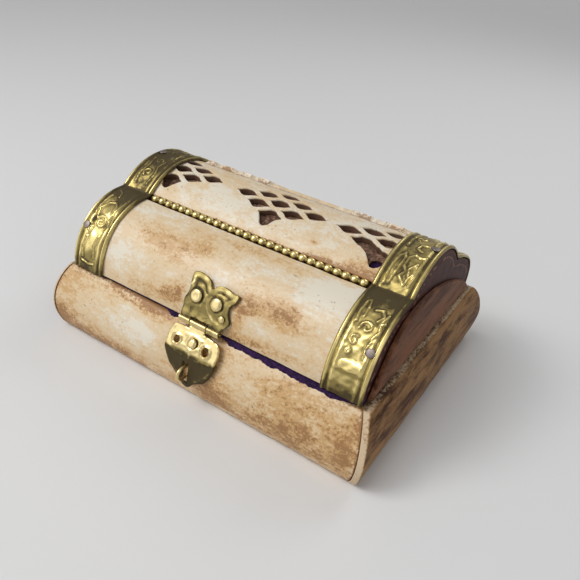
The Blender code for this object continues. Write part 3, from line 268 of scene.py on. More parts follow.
@dataclass(frozen=True)
class StainedBoneFinish:
    """Bone dyed dark, worn back to tan and cream along its arrises."""

    name: str
    dark: Colour = (0.064, 0.021, 0.008)
    tan: Colour = (0.37, 0.20, 0.08)
    worn: Colour = (0.74, 0.59, 0.40)
    light: float = 0.0

    def build(self) -> Finish:
        """Makes the material: dark dye broken by tan, lengthwise streaks and a worn pale edge."""
        graph = Graph(self.name)
        edge = graph.attribute("edge")
        pale = graph.attribute("pale")
        clouds = graph.noise(9.0, 4.0, 0.62, 0.5, stretch=(1.0, 0.35, 1.0))
        mottle = graph.noise(2.2, 8.0, 0.8, 0.25, stretch=(1.0, 0.2, 1.0), shift=0.4)
        fine = graph.noise(0.7, 4.0, 0.7, shift=0.8)
        streaks = graph.noise(1.3, 5.0, 0.65, 0.3, stretch=(1.0, 0.1, 0.9), shift=0.2)
        patchy = (clouds - 0.5) * 1.5 + (mottle - 0.5) * 1.3 + (streaks - 0.5) * 1.1 + (fine - 0.5) * 0.4
        colour = graph.mix((patchy + self.light + pale * 0.5).step(-0.26, 0.34), self.dark, self.tan)
        rubbed = (edge * 0.72 + pale * 0.2 + patchy * 0.75 + (fine - 0.5) * 1.5).step(0.5, 0.95)
        colour = graph.mix(rubbed * 0.85, colour, self.worn)
        height = mottle * 0.5 + streaks * 0.5 + fine * 0.3
        return graph.finish(Base_Color=colour, Roughness=0.48 + mottle * 0.2,
                            Normal=graph.bump(height, 0.14, 0.7), Specular_IOR_Level=0.15)


@dataclass(frozen=True)
class BrassFinish:
    """Old, tarnished brass: bright where it stands proud, olive and brown in its hollows, with painted
    shade and painted light where its mesh's shade attribute asks.
    """

    name: str
    bright: Colour = (0.76, 0.61, 0.25)
    olive: Colour = (0.30, 0.235, 0.085)
    # Near black, for both soiling in low places and painted shade.
    grime: Colour = (0.055, 0.038, 0.016)
    rough: float = 0.24
    age: float = 0.0

    def build(self) -> Finish:
        """Makes the material: colour and gloss follow the relief and the painted shade, with clouded
        tarnish and fine scratches.
        """
        graph = Graph(self.name)
        relief = graph.attribute("relief")
        # The shade attribute is painted light and shade: above zero it darkens the brass towards olive and
        # near black, below zero it brightens it.
        shade = graph.attribute("shade")
        clouds = graph.noise(6.0, 4.0, 0.6, 0.8)
        mottle = graph.noise(1.4, 5.0, 0.65, 0.6, shift=0.5)
        scratch = graph.noise(0.5, 3.0, 0.6, stretch=(0.15, 1.0, 1.0), shift=0.9)
        # Olive share: tarnish by the relief and the clouds, plus painted shade.
        tarnish_and_shade = (clouds * 1.3 + mottle * 0.5 - relief * 0.9 + shade + self.age).step(0.42, 1.12)
        colour = graph.mix(tarnish_and_shade, self.bright, self.olive)
        # Near-black share: painted shade, and soiling in the low places of the relief.
        dirt_and_shade = (shade - relief * 0.8 + (mottle - 0.5) * 1.1 + (clouds - 0.5) * 1.2
                + self.age * 0.5).step(0.32, 0.9)
        colour = graph.mix(dirt_and_shade * 0.9, colour, self.grime)
        rough = self.rough + tarnish_and_shade * 0.16 + dirt_and_shade * 0.22 + scratch * 0.05
        height = mottle * 0.6 + scratch * 0.25 + clouds * 0.4
        return graph.finish(Base_Color=colour, Roughness=rough, Metallic=1.0 - dirt_and_shade * 0.35,
                            Normal=graph.bump(height, 0.06, 0.5))


@dataclass(frozen=True)
class WoodFinish:
    """Close-grained wood, plain or stained, with a paler worn line where the mesh asks for it."""

    name: str
    dark: Colour
    light: Colour
    line: Colour = (0.36, 0.20, 0.13)
    rough: float = 0.45
    coat: float = 0.15

    def build(self) -> Finish:
        """Makes the material: drawn-out grain along X, pores and the line."""
        graph = Graph(self.name)
        edge = graph.attribute("edge")
        bands = graph.noise(5.0, 3.0, 0.55, 1.2, stretch=(0.12, 1.0, 1.0))
        grain = graph.noise(0.8, 5.0, 0.7, 0.3, stretch=(0.1, 1.0, 1.0), shift=0.4)
        mottle = graph.noise(2.2, 4.0, 0.6, shift=0.6)
        share = (bands * 0.6 + grain * 0.5 + mottle * 0.3).step(0.45, 0.95)
        colour = graph.mix(share, self.dark, self.light)
        colour = graph.mix((edge + (mottle - 0.5) * 0.9).step(0.35, 0.85), colour, self.line)
        return graph.finish(Base_Color=colour, Roughness=self.rough + grain * 0.2,
                            Normal=graph.bump(grain + bands * 0.4, 0.1, 0.5),
                            Specular_IOR_Level=0.22, Coat_Weight=self.coat, Coat_Roughness=0.35)


@dataclass(frozen=True)
class ClothFinish:
    """Velvet pile or pressed paper board: soft clouds over a fine nap."""

    name: str
    deep: Colour
    lit: Colour
    nap: float = 0.35
    sheen: float = 0.0
    rough: float = 0.9
    depth: float = 0.12

    def build(self) -> Finish:
        """Makes the material: the colour follows the nap, with sheen where it is velvet."""
        graph = Graph(self.name)
        clouds = graph.noise(3.0, 4.0, 0.65, 0.7)
        nap = graph.noise(self.nap, 3.0, 0.7, shift=0.3)
        colour = graph.mix((clouds * 0.5 + nap * 0.9).step(0.55, 0.95), self.deep, self.lit)
        return graph.finish(Base_Color=colour, Roughness=self.rough - clouds * 0.08,
                            Normal=graph.bump(nap + clouds * 0.3, self.depth, 0.8),
                            Sheen_Weight=self.sheen, Sheen_Roughness=0.4, Sheen_Tint=(*self.lit, 1.0),
                            Specular_IOR_Level=0.25)


# Meshes

def ripples(seed: int, size: float, count: int = 7) -> Callable[[Grid, Grid], Grid]:
    """Smooth unevenness over two parameters.

    The value is the mean of sine waves, each of its own direction, phase and length near size.

    Args:
        seed: Picks the waves.
        size: Their usual length in millimetres.
        count: How many there are.

    Returns:
        A function of two arrays whose values lie mostly between -1 and 1.
    """
    draw = np.random.default_rng(seed)
    turns = draw.uniform(0.0, 2 * np.pi, count)
    waves = 2 * np.pi / (size * draw.uniform(0.6, 1.7, count))
    phases = draw.uniform(0.0, 2 * np.pi, count)

    def height(u: Grid, v: Grid) -> Grid:
        """The unevenness at each place."""
        along = u[..., None] * np.cos(turns) + v[..., None] * np.sin(turns)
        return np.sin(along * waves + phases).sum(axis=-1) / count ** 0.5
    return height


def dimples(seed: int, size: float, depth: float) -> Field:
    """How far a hand-worked face lies low: depth times one plus its ripples, which are cut off at 1."""
    uneven = ripples(seed, size)
    return lambda u, v: depth * (1.0 + np.clip(uneven(u, v), -1, 1))


def ramp(value: Grid, reach: float) -> Grid:
    """Rises evenly from 0 at 0 to 1 at reach, and is level on both sides."""
    return np.clip(value / reach, 0.0, 1.0)


def fade(distance: Grid, reach: float) -> Grid:
    """Falls from 1 at 0, by a factor of e over each reach."""
    return np.exp(-distance / reach)


def around(sides: int) -> Grid:
    """The angles of evenly spaced points on a circle."""
    return 2 * np.pi * np.arange(sides) / sides


def net(rows: Grid, columns: Grid) -> list[Grid]:
    """Two parameters over a grid: the first changes down its columns, the second along its rows."""
    return np.meshgrid(rows, columns, indexing="ij")


def worn(distance: Grid, radius: float) -> Grid:
    """How far a rounded edge has dropped: radius less the height of a quarter circle."""
    into = np.clip(radius - distance, 0.0, radius)
    return radius - np.sqrt(np.maximum(radius ** 2 - into ** 2, 0.0))


def graded(low: float, high: float, spacing: float, edge: float = 0.6) -> Grid:
    """Even steps between two values, with closer ones near both, where the edges round off."""
    ends = edge * np.array([0.0, 0.07, 0.2, 0.4, 0.7])
    count = max(2, int(np.ceil((high - low - 2 * edge) / spacing)) + 1)
    return np.concatenate([low + ends, np.linspace(low + edge, high - edge, count), high - ends[::-1]])


def quads(rows: int, columns: int, wrap_rows: bool = False, wrap_columns: bool = False) -> Grid:
    """Four corners for each face of a grid whose points are numbered row by row."""
    row = np.arange(rows if wrap_rows else rows - 1)[:, None]
    column = np.arange(columns if wrap_columns else columns - 1)[None, :]
    ahead = (row + 1) % rows
    beside = (column + 1) % columns
    corners = [row * columns + column, row * columns + beside,
               ahead * columns + beside, ahead * columns + column]
    return np.stack(np.broadcast_arrays(*corners), axis=-1).reshape(-1, 4)


def link(name: str, data: bpy.types.ID) -> Thing:
    """A new object in the scene."""
    made = bpy.data.objects.new(name, data)
    bpy.context.collection.objects.link(made)
    return made


def piece(name: str, points: Grid, faces: Sequence, finish: Finish,
          numbers: Mapping[str, Grid] | None = None, crease: float = CREASE) -> Thing:
    """Makes a closed mesh object at the origin.

    Args:
        name: The piece's name.
        points: Its points in millimetres, one a row.
        faces: Lists or arrays of corner numbers.
        finish: Its material.
        numbers: Values at each point, by attribute name.
        crease: Edges sharper than this many degrees stay sharp.

    Returns:
        The object, with its faces turned outwards.
    """
    mesh = bpy.data.meshes.new(name)
    corners = [face for group in faces for face in np.asarray(group).tolist()]
    mesh.from_pydata((points * MM).tolist(), [], corners)
    for key, values in (numbers or {}).items():
        mesh.attributes.new(key, "FLOAT", "POINT").data.foreach_set(
            "value", np.ascontiguousarray(values, np.float32).ravel())
    shape = bmesh.new()
    shape.from_mesh(mesh)
    bmesh.ops.remove_doubles(shape, verts=shape.verts[:], dist=MERGED)
    if shape.calc_volume(signed=True) < 0:
        bmesh.ops.reverse_faces(shape, faces=shape.faces[:])
    shape.to_mesh(mesh)
    shape.free()
    mesh.shade_smooth()
    mesh.set_sharp_from_angle(angle=np.radians(crease))
    mesh.materials.append(finish)
    return link(name, mesh)


def seat(made: Thing, body: Body, slot: str, *nodes: str) -> Thing:
    """Lets a piece ride on a body, stands it in for CAD nodes and reports it."""
    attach(made, body.value)
    if nodes:
        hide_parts(*nodes)
    log.info("%s rides on %s, %d faces", made.name, body.value, len(made.data.polygons))
    return made


def border_distance(grid: Grid) -> Grid:
    """How far each point of a grid is from its nearest border, measured along rows and columns."""
    def nearest(rows: Grid) -> Grid:
        """The distance from the first or last row, whichever is less."""
        runs = np.linalg.norm(np.diff(rows, axis=0), axis=-1)
        along = np.pad(np.cumsum(runs, axis=0), [(1, 0), (0, 0)])
        return np.minimum(along, along[-1:] - along)
    return np.minimum(nearest(grid), nearest(grid.swapaxes(0, 1)).T)


def slab(name: str, outer: Grid, inner: Grid, finish: Finish,
         numbers: Mapping[str, Grid] | None = None, crease: float = CREASE) -> Thing:
    """A closed sheet between two grids of points that have the same rows and columns."""
    rows, columns = outer.shape[:2]
    count = rows * columns
    front = quads(rows, columns)
    order = np.arange(count).reshape(rows, columns)
    loop = np.concatenate([order[0, :-1], order[:-1, -1], order[-1, :0:-1], order[:0:-1, 0]])
    ahead = np.roll(loop, -1)
    walls = np.stack([ahead, loop, loop + count, ahead + count], axis=-1)
    points = np.concatenate([outer.reshape(-1, 3), inner.reshape(-1, 3)])
    both = {key: np.tile(values.ravel(), 2) for key, values in (numbers or {}).items()}
    return piece(name, points, [front, front[:, ::-1] + count, walls], finish, both, crease)


def tube(name: str, grid: Grid, finish: Finish, numbers: Mapping[str, Grid], crease: float) -> Thing:
    """A solid between flat ends, from points in a grid whose rows each go once round it."""
    rows, sides = grid.shape[:2]
    caps = [np.arange(sides)[::-1], np.arange(sides) + (rows - 1) * sides]
    faces = [quads(rows, sides, wrap_columns=True), caps]
    return piece(name, grid.reshape(-1, 3), faces, finish, numbers, crease)


def turned(name: str, foot: Grid, way: Grid, profile: Grid, finish: Finish,
           numbers: Mapping[str, Grid], sides: int = 24) -> Thing:
    """A turned solid: each (radius, height) of the profile goes round an axis.

    Args:
        name: The piece's name.
        foot: Where height 0 is.
        way: The axis, towards greater heights.
        profile: Radii and heights, one pair a row.
        finish: Its material.
        numbers: One value for each row of the profile, by attribute name.
        sides: How many points go round.

    Returns:
        The object.
    """
    way = way / np.linalg.norm(way)
    side = np.cross(way, (1.0, 0.0, 0.0) if abs(way[0]) < 0.7 else (0.0, 1.0, 0.0))
    side = side / np.linalg.norm(side)
    turns = around(sides)[:, None]
    round_it = np.cos(turns) * side + np.sin(turns) * np.cross(way, side)
    grid = foot + profile[:, 1, None, None] * way + profile[:, 0, None, None] * round_it[None]
    wide = {key: np.repeat(values, sides) for key, values in numbers.items()}
    return tube(name, grid, finish, wide, CREASE)


def upright(end: End, face: float, way: int = 1) -> Place:
    """Stands a flat sheet up on an end of the chest.

    Args:
        end: Which end.
        face: How far out its face is.
        way: 1 where it looks outwards, -1 where it looks into the chest.

    Returns:
        The place of a point as a function of its y, its z and its height over the face.
    """
    def place(y: Grid, z: Grid, height: Grid) -> Grid:
        """The point's place."""
        return np.stack([end.value * (face + way * height), y, z], axis=-1)
    return place


def catmull(points: Grid, steps: int) -> Grid:
    """A smooth line through every point: cubics whose slopes are set by the points on either side."""
    held = np.concatenate([[2 * points[0] - points[1]], points, [2 * points[-1] - points[-2]]])
    before, first, second, after = held[:-3, None], held[1:-2, None], held[2:-1, None], held[3:, None]
    share = (np.arange(steps) / steps)[None, :, None]
    bend = (2 * before - 5 * first + 4 * second - after) * share ** 2
    twist = (3 * first - before - 3 * second + after) * share ** 3
    line = (2 * first + (second - before) * share + bend + twist) / 2
    return np.concatenate([line.reshape(-1, points.shape[1]), points[-1:]])


class SidePath:
    """A line in the side view (back, up) along which bone, sheet or cloth is laid."""

    def __init__(self, points: Grid) -> None:
        """Takes the line's points in order; heights are measured square to it, to its left."""
        self.points = np.asarray(points, float)
        runs = np.linalg.norm(np.diff(self.points, axis=0), axis=1)
        self.arcs = np.concatenate([[0.0], np.cumsum(runs)])
        run = np.gradient(self.points, self.arcs, axis=0)
        square = np.stack([-run[:, 1], run[:, 0]], axis=1)
        self.normals = square / np.linalg.norm(square, axis=1, keepdims=True)

    @property
    def total(self) -> float:
        """The whole line's length."""
        return float(self.arcs[-1])

    def along(self, values: Grid, arc: Grid) -> Grid:
        """The pair of values at each length along the line."""
        return np.stack([np.interp(arc, self.arcs, values[:, k]) for k in (0, 1)], axis=-1)

    def place(self, arc: Grid, height: Grid | float = 0.0) -> Grid:
        """The point at each length along the line, plus its height times the direction square to it."""
        arc, height = np.broadcast_arrays(np.asarray(arc, float), np.asarray(height, float))
        return self.along(self.points, arc) + self.along(self.normals, arc) * height[..., None]

    def laid(self, across: Grid, arc: Grid, height: Grid | float) -> Grid:
        """Places in space: across is X, the rest follows the line."""
        spot = self.place(arc, height)
        return np.concatenate([np.broadcast_to(across, spot.shape[:-1])[..., None], spot], axis=-1)

    def softened(self, reach: float, step: float = 0.15) -> "SidePath":
        """The same line with its corners rounded: means of the points near each, by a bell curve."""
        line = self.place(np.linspace(0.0, self.total, int(self.total / step) + 1))
        wide = int(3 * reach / step)
        bell = np.exp(-0.5 * (np.arange(-wide, wide + 1) * step / reach) ** 2)
        padded = np.pad(line, [(wide, wide), (0, 0)], mode="reflect", reflect_type="odd")
        soft = [np.convolve(padded[:, k], bell / bell.sum(), mode="valid") for k in (0, 1)]
        return SidePath(np.stack(soft, axis=1))


# Pierced sheets

def dense(loop: Grid, spacing: float) -> Grid:
    """A closed loop's points, with more along its straights so that none are far apart."""
    shut = np.concatenate([loop, loop[:1]])
    runs = np.linalg.norm(np.diff(shut, axis=0), axis=1)
    arcs = np.concatenate([[0.0], np.cumsum(runs)])
    parts = np.maximum(1, np.ceil(runs / spacing)).astype(int)
    starts = np.repeat(arcs[:-1], parts)
    shares = np.concatenate([np.arange(part) / part for part in parts])
    spots = starts + shares * np.repeat(runs, parts)
    return np.stack([np.interp(spots, arcs, shut[:, k]) for k in (0, 1)], axis=1)


class Region:
    """A flat area inside an outline and outside its holes."""

    row_step = 0.87
    clear_of_ring = 0.45
    kept_share = 0.96
    tolerance = 1e-4
    at_a_time = 800

    def __init__(self, loops: Sequence[Grid], spacing: float) -> None:
        """Takes the outline first and then the holes, in millimetres."""
        self.loops = [dense(np.asarray(loop, float), spacing) for loop in loops]
        self.starts = np.concatenate(self.loops)
        self.ends = np.concatenate([np.roll(loop, -1, axis=0) for loop in self.loops])

    def measure(self, points: Grid) -> tuple[Grid, Grid]:
        """Each point's distance from the border, and whether it is inside.

        The distance is the least to any border segment. A point is inside where a ray from it
        crosses the border an odd number of times.
        """
        run = self.ends - self.starts
        size = (run ** 2).sum(axis=1)
        rise = np.where(run[:, 1] == 0.0, 1e-12, run[:, 1])
        distances, insides = [], []
        for block in np.array_split(points, max(1, len(points) // self.at_a_time)):
            away = block[:, None] - self.starts[None]
            share = np.clip((away * run).sum(axis=-1) / size, 0.0, 1.0)
            distances.append(np.sqrt(((away - share[..., None] * run) ** 2).sum(axis=-1).min(axis=1)))
            spans = (self.starts[:, 1] > block[:, 1, None]) != (self.ends[:, 1] > block[:, 1, None])
            meets = self.starts[:, 0] + away[..., 1] / rise * run[:, 0]
            insides.append((spans & (meets > block[:, 0, None])).sum(axis=1) % 2 == 1)
        return np.concatenate(distances), np.concatenate(insides)

    def filled(self, spacing: float, rings: Sequence[float]) -> tuple[Grid, Grid, Grid]:
        """Fills the area with triangles.

        Args:
            spacing: The distance between points in the open.
            rings: Distances from the border at which rows of points follow it.

        Returns:
            The points, their distances from the border, and the triangles' corners.
        """
        run = self.ends - self.starts
        square = np.stack([-run[:, 1], run[:, 0]], axis=1) / np.linalg.norm(run, axis=1, keepdims=True)
        middles = (self.starts + self.ends) / 2
        low, high = self.starts.min(axis=0), self.starts.max(axis=0)
        rows = np.arange(low[1], high[1], spacing * self.row_step)
        columns = np.arange(low[0], high[0] + spacing, spacing)
        u, v = np.meshgrid(columns, rows)
        u = u + (np.arange(len(rows)) % 2)[:, None] * spacing / 2
        open_points = np.stack([u.ravel(), v.ravel()], axis=1)
        distance, inside = self.measure(open_points)
        kept = [open_points[inside & (distance > rings[-1] + self.clear_of_ring * spacing)]]
        for ring in rings:
            both = np.concatenate([middles + ring * square, middles - ring * square])
            distance, inside = self.measure(both)
            kept.append(both[inside & (distance > self.kept_share * ring)])
        loose = np.concatenate(kept)
        points = np.concatenate([*self.loops, loose])
        edges, first = [], 0
        for loop in self.loops:
            order = np.arange(len(loop)) + first
            edges += np.stack([order, np.roll(order, -1)], axis=1).tolist()
            first += len(loop)
        flat = [Vector(point) for point in points.tolist()]
        spots, _, faces, *_ = delaunay_2d_cdt(flat, edges, [], 0, self.tolerance)
        spots = np.array([tuple(spot) for spot in spots])
        faces = np.array(faces)
        _, inside = self.measure(spots[faces].mean(axis=1))
        faces = faces[inside]
        used, faces = np.unique(faces, return_inverse=True)
        spots = spots[used]
        distance, _ = self.measure(spots)
        return spots, distance, faces.reshape(-1, 3)


def pierced(name: str, loops: Sequence[Grid], place: Place, thickness: float, finish: Finish,
            spacing: float, wear: float, relief: Place | None = None,
            numbers: Callable[[Grid, Grid, Grid], Mapping[str, Grid]] | None = None) -> Thing:
    """A closed sheet cut to an outline with holes, its edges rounded off and its face in relief.

    The outer face stands at the relief's height less the worn edge's drop, and the inner one at
    minus the thickness.

    Args:
        name: The piece's name.
        loops: The outline and the holes.
        place: Turns two flat coordinates and a height into places in space.
        thickness: The sheet's thickness.
        finish: Its material.
        spacing: The distance between its points.
        wear: The radius of its rounded edges.
        relief: Height over the face, of u, v and the distance from the border.
        numbers: Attribute values, of u, v and that distance.

    Returns:
        The object.
    """
    region = Region(loops, spacing * 0.7)
    spots, distance, faces = region.filled(spacing, (0.3 * wear, wear))
    u, v = spots.T
    raised = relief(u, v, distance) if relief else 0.0
    outer = place(u, v, raised - worn(distance, wear))
    inner = place(u, v, np.full(len(u), -thickness))
    count = len(spots)
    directed = np.concatenate([faces[:, [0, 1]], faces[:, [1, 2]], faces[:, [2, 0]]])
    _, first, times = np.unique(np.sort(directed, axis=1), axis=0, return_index=True, return_counts=True)
    rim = directed[first[times == 1]]
    walls = np.stack([rim[:, 1], rim[:, 0], rim[:, 0] + count, rim[:, 1] + count], axis=-1)
    values = numbers(u, v, distance) if numbers else {}
    doubled = {key: np.concatenate([value, value]) for key, value in values.items()}
    # deep is 1 on the inner side; the bone finish paints shade there and on the holes' walls.
    doubled["deep"] = np.repeat((0.0, 1.0), count)
    sheet = [faces, faces[:, ::-1] + count, walls]
    return piece(name, np.concatenate([outer, inner]), sheet, finish, doubled)


def near_line(u: Grid, v: Grid, line: Sequence[Sequence[float]]) -> Grid:
    """Each place's least distance to the segments of a line."""
    line = np.asarray(line, float)
    best = np.full(np.shape(u), np.inf)
    for first, second in zip(line, line[1:]):
        run = second - first
        share = np.clip(((u - first[0]) * run[0] + (v - first[1]) * run[1]) / (run @ run), 0.0, 1.0)
        best = np.minimum(best, np.hypot(u - first[0] - share * run[0], v - first[1] - share * run[1]))
    return best


def ridge(distance: Grid, width: float) -> Grid:
    """A rounded ridge: a bell curve of the distance from its middle."""
    return np.exp(-(distance / width) ** 2)


def spiral(u: float, v: float, radius: float, turns: float, start: float, hand: int = 1) -> Grid:
    """A scroll that winds in to a fifth of its radius, start being its first angle in degrees."""
    share = np.linspace(0.0, 1.0, int(14 * turns) + 2)
    angle = np.radians(start) + hand * 2 * np.pi * turns * share
    out = radius * (1.0 - 0.8 * share)
    return np.stack([u + out * np.cos(angle), v + out * np.sin(angle)], axis=1)


def stained(spots: Grid, blots: Sequence[Sequence[float]]) -> Grid:
    """How strongly each place is stained: the sum of the blots there.

    A blot is a bell curve of the distance in reaches: its middle (x, y, z), its reach along the
    chest, its reach across it, and its strength.
    """
    total = np.zeros(spots.shape[:-1])
    for x, y, z, long, wide, strength in blots:
        away = ((spots[..., 0] - x) / long) ** 2
        away += ((spots[..., 1] - y) ** 2 + (spots[..., 2] - z) ** 2) / wide ** 2
        total = total + strength * np.exp(-away)
    return total


# The chest

@dataclass(frozen=True)
class Lines:
    """The chest's main sizes, as its solids have them, and the lines that follow from them."""

    half_depth: float = 42.0
    half_length: float = 56.8
    seam: float = 25.5
    rims: tuple[float, float, float] = (24.6, 24.0, 24.7)
    front_step: float = 18.396
    rear_step: float = 19.992
    step_rise: float = 21.5
    crest_rise: float = 29.6
    lobe_bow: float = 7.0
    side_lean: float = 3.7
    front_belly: tuple[float, float] = (4.84, 0.67)
    rear_belly: tuple[float, float] = (6.4, 0.5)
    end_foot: float = 2.8
    end_lean: float = 1.1
    end_belly: float = 3.25
    gap: float = 0.3
    bone: float = 2.4
    end_bone: float = 1.5
    board: float = 2.6
    backing: float = 0.6
    bone_half: float = 50.5
    bead_seat: float = 1.5
    strap: float = 13.3
    strap_in: float = 43.5
    leaf: float = 0.7
    rear_outline: tuple = (
        (42.0, 0.0), (42.4, 3.6), (41.2, 7.6), (38.0, 11.4), (33.5, 14.2), (28.0, 16.9), (23.4, 18.5))

    def rim(self, end: Grid, side: Side) -> Grid:
        """The rim's height, where end runs from -1 at the left to 1 at the right."""
        left, right, rear = self.rims
        return rear + 0.0 * end if side is Side.REAR else (left + right) / 2 + end * (right - left) / 2

    def swell(self, share: Grid, fullness: float = 0.67) -> Grid:
        """The swell of a bowed plate at a share of its height: 0 at both edges and 1 at its middle."""
        return np.sin(np.pi * np.clip(share, 0, 1)) ** fullness

    def side_out(self, share: Grid, side: Side) -> Grid:
        """How far a long side stands out at a share of its height: a lean at the foot and a belly."""
        belly, fullness = self.rear_belly if side is Side.REAR else self.front_belly
        return self.half_depth + self.side_lean * (1.0 - share) + belly * self.swell(share, fullness)

    def end_out(self, share: Grid) -> Grid:
        """How far an end stands out at a share of its height."""
        lean = self.end_lean * (1.0 - share)
        return self.half_length + self.end_foot + lean + self.end_belly * self.swell(share)

    def lobe(self) -> SidePath:
        """The front lobe: a circular arc from the seam to the front step, bowed outwards."""
        start = np.array([-self.half_depth, self.seam])
        end = np.array([-self.front_step, self.seam + self.step_rise])
        chord = end - start
        half = np.linalg.norm(chord) / 2
        radius = (half ** 2 + self.lobe_bow ** 2) / (2 * self.lobe_bow)
        along = chord / (2 * half)
        out = np.array([-along[1], along[0]])
        centre = (start + end) / 2 + out * (self.lobe_bow - radius)
        turn = np.arcsin(half / radius) * np.linspace(-1.0, 1.0, 60)[:, None]
        return SidePath(centre + radius * (out * np.cos(turn) + along * np.sin(turn)))

    def dome(self) -> SidePath:
        """The dome: a circular arc from the front step over the crest to the rear step."""
        rise = self.crest_rise - self.step_rise
        radius = (self.front_step ** 2 + rise ** 2) / (2 * rise)
        turn = np.linspace(-np.arcsin(self.front_step / radius), np.arcsin(self.rear_step / radius), 80)
        low = self.seam + self.crest_rise - radius
        return SidePath(np.stack([radius * np.sin(turn), low + radius * np.cos(turn)], axis=1))

    def crest(self) -> float:
        """How far along the dome its crest is."""
        dome = self.dome()
        return float(dome.arcs[np.argmax(dome.points[:, 1])])

    def rear_lobe(self) -> SidePath:
        """The rear lobe, a smooth line from the rear step down to the seam."""
        drawn = np.array(self.rear_outline) + (0.0, self.seam)
        line = catmull(np.concatenate([drawn, self.dome().points[-1:]]), 8)
        return SidePath(line[::-1])

    def lid(self) -> SidePath:
        """The lid's whole outline from the front seam to the rear seam."""
        return SidePath(np.concatenate(
            [self.lobe().points, self.dome().points[1:], self.rear_lobe().points[1:]]))


LINES = Lines()


@dataclass
class CaseBone:
    """The four bowed bone plates round the case, butted at the corners."""

    bone: Finish
    stained_bone: Finish
    side_thickness: float = 2.6
    end_thickness: float = 2.2
    left_edge: float = 0.8
    left_bevel: float = 3.9
    wear: float = 0.45
    steps_up: tuple[float, float] = (0.035, 0.03)
    steps_long: tuple[float, float] = (0.016, 0.012)
    steps_deep: tuple[float, float] = (0.011, 0.008)
    warmth: float = 0.26
    blots: tuple = (
        (-56.0, -45.3, 21.1, 8.0, 4.5, 0.4), (-59.5, -47.5, 6.0, 3.5, 7.0, 0.85),
        (-19.6, -43.0, 23.6, 8.0, 2.4, 0.95), (-32.0, -44.0, 24.0, 16.0, 2.2, 0.6),
        (9.5, -48.8, 9.0, 6.0, 4.0, 0.85), (20.0, -48.8, 5.0, 26.0, 5.0, 0.65),
        (46.0, -47.5, 9.0, 18.0, 10.0, 0.62), (36.0, -45.0, 19.0, 26.0, 8.0, 0.42),
        (-38.0, -48.0, 2.0, 26.0, 6.0, 0.9), (57.0, -46.0, 14.0, 2.5, 14.0, 0.55),
        (4.0, -47.0, 16.0, 10.0, 7.0, 0.55), (-52.0, -48.0, 6.0, 7.0, 8.0, 0.4),
        (-28.0, -47.5, 15.0, 16.0, 5.5, -0.55), (20.0, -46.5, 17.0, 6.0, 4.0, -0.3))

    def long_plate(self, side: Side) -> Thing:
        """A front or rear plate: x is a share of the length between the ends, y swells."""
        share, end = net(graded(0.0, 1.0, *self.steps_up), graded(-1.0, 1.0, *self.steps_long))

        def place(height: Grid | float) -> Grid:
            """Places on the plate at a height over its face."""
            inset = np.where(end < 0, self.left_edge, self.end_thickness) + LINES.gap
            x = end * (LINES.end_out(share) - inset)
            y = side.value * (LINES.side_out(share, side) + height)
            return np.stack([x, y, share * LINES.rim(end, side)], axis=-1)

        flat = place(0.0)
        distance = border_distance(flat)
        low = dimples(3 if side is Side.FRONT else 4, 17.0, 0.08)(flat[..., 0], flat[..., 2])
        numbers = {"stain": stained(flat, self.blots) + self.warmth, "edge": fade(distance, 0.8)}
        made = slab(f"{side.word}_bone_plate", place(-worn(distance, self.wear) - low),
                    place(-self.side_thickness), self.bone, numbers)
        return seat(made, Body.CASE, "bone", f"{side.word}_bone")

    def end_plate(self, end: End) -> Thing:
        """A left or right plate: y reaches the long sides' faces, x swells with the height."""
        share, across = net(graded(0.0, 1.0, *self.steps_up), graded(0.0, 1.0, *self.steps_deep))
        front, rear = -LINES.side_out(share, Side.FRONT), LINES.side_out(share, Side.REAR)
        side_rim = LINES.rim(end.value, Side.FRONT)
        top = side_rim + across * (LINES.rims[2] - side_rim)

        def place(height: Grid | float) -> Grid:
            """Places on the plate at a height over its face."""
            x = end.value * (LINES.end_out(share) + height)
            return np.stack([x, front + across * (rear - front), share * top], axis=-1)

        flat = place(0.0)
        distance = border_distance(flat)
        low = dimples(5 if end is End.LEFT else 6, 12.0, 0.1)(flat[..., 1], flat[..., 2])
        from_front = flat[..., 1] - front
        thin = ramp(self.left_bevel - from_front, 1.0) * (end is End.LEFT)
        numbers = {"edge": fade(distance, 0.45),
                   "pale": fade(from_front, 0.25) + 0.4 * fade(share, 0.3)}
        made = slab(f"{end.word}_bone_plate", place(-worn(distance, self.wear) - low),
                    place(thin * (self.end_thickness - self.left_edge) - self.end_thickness),
                    self.stained_bone, numbers)
        return seat(made, Body.CASE, "stained_bone", f"{end.word}_bone")

    def build(self) -> None:
        """Builds all four plates."""
        for side in Side:
            self.long_plate(side)
        for end in End:
            self.end_plate(end)


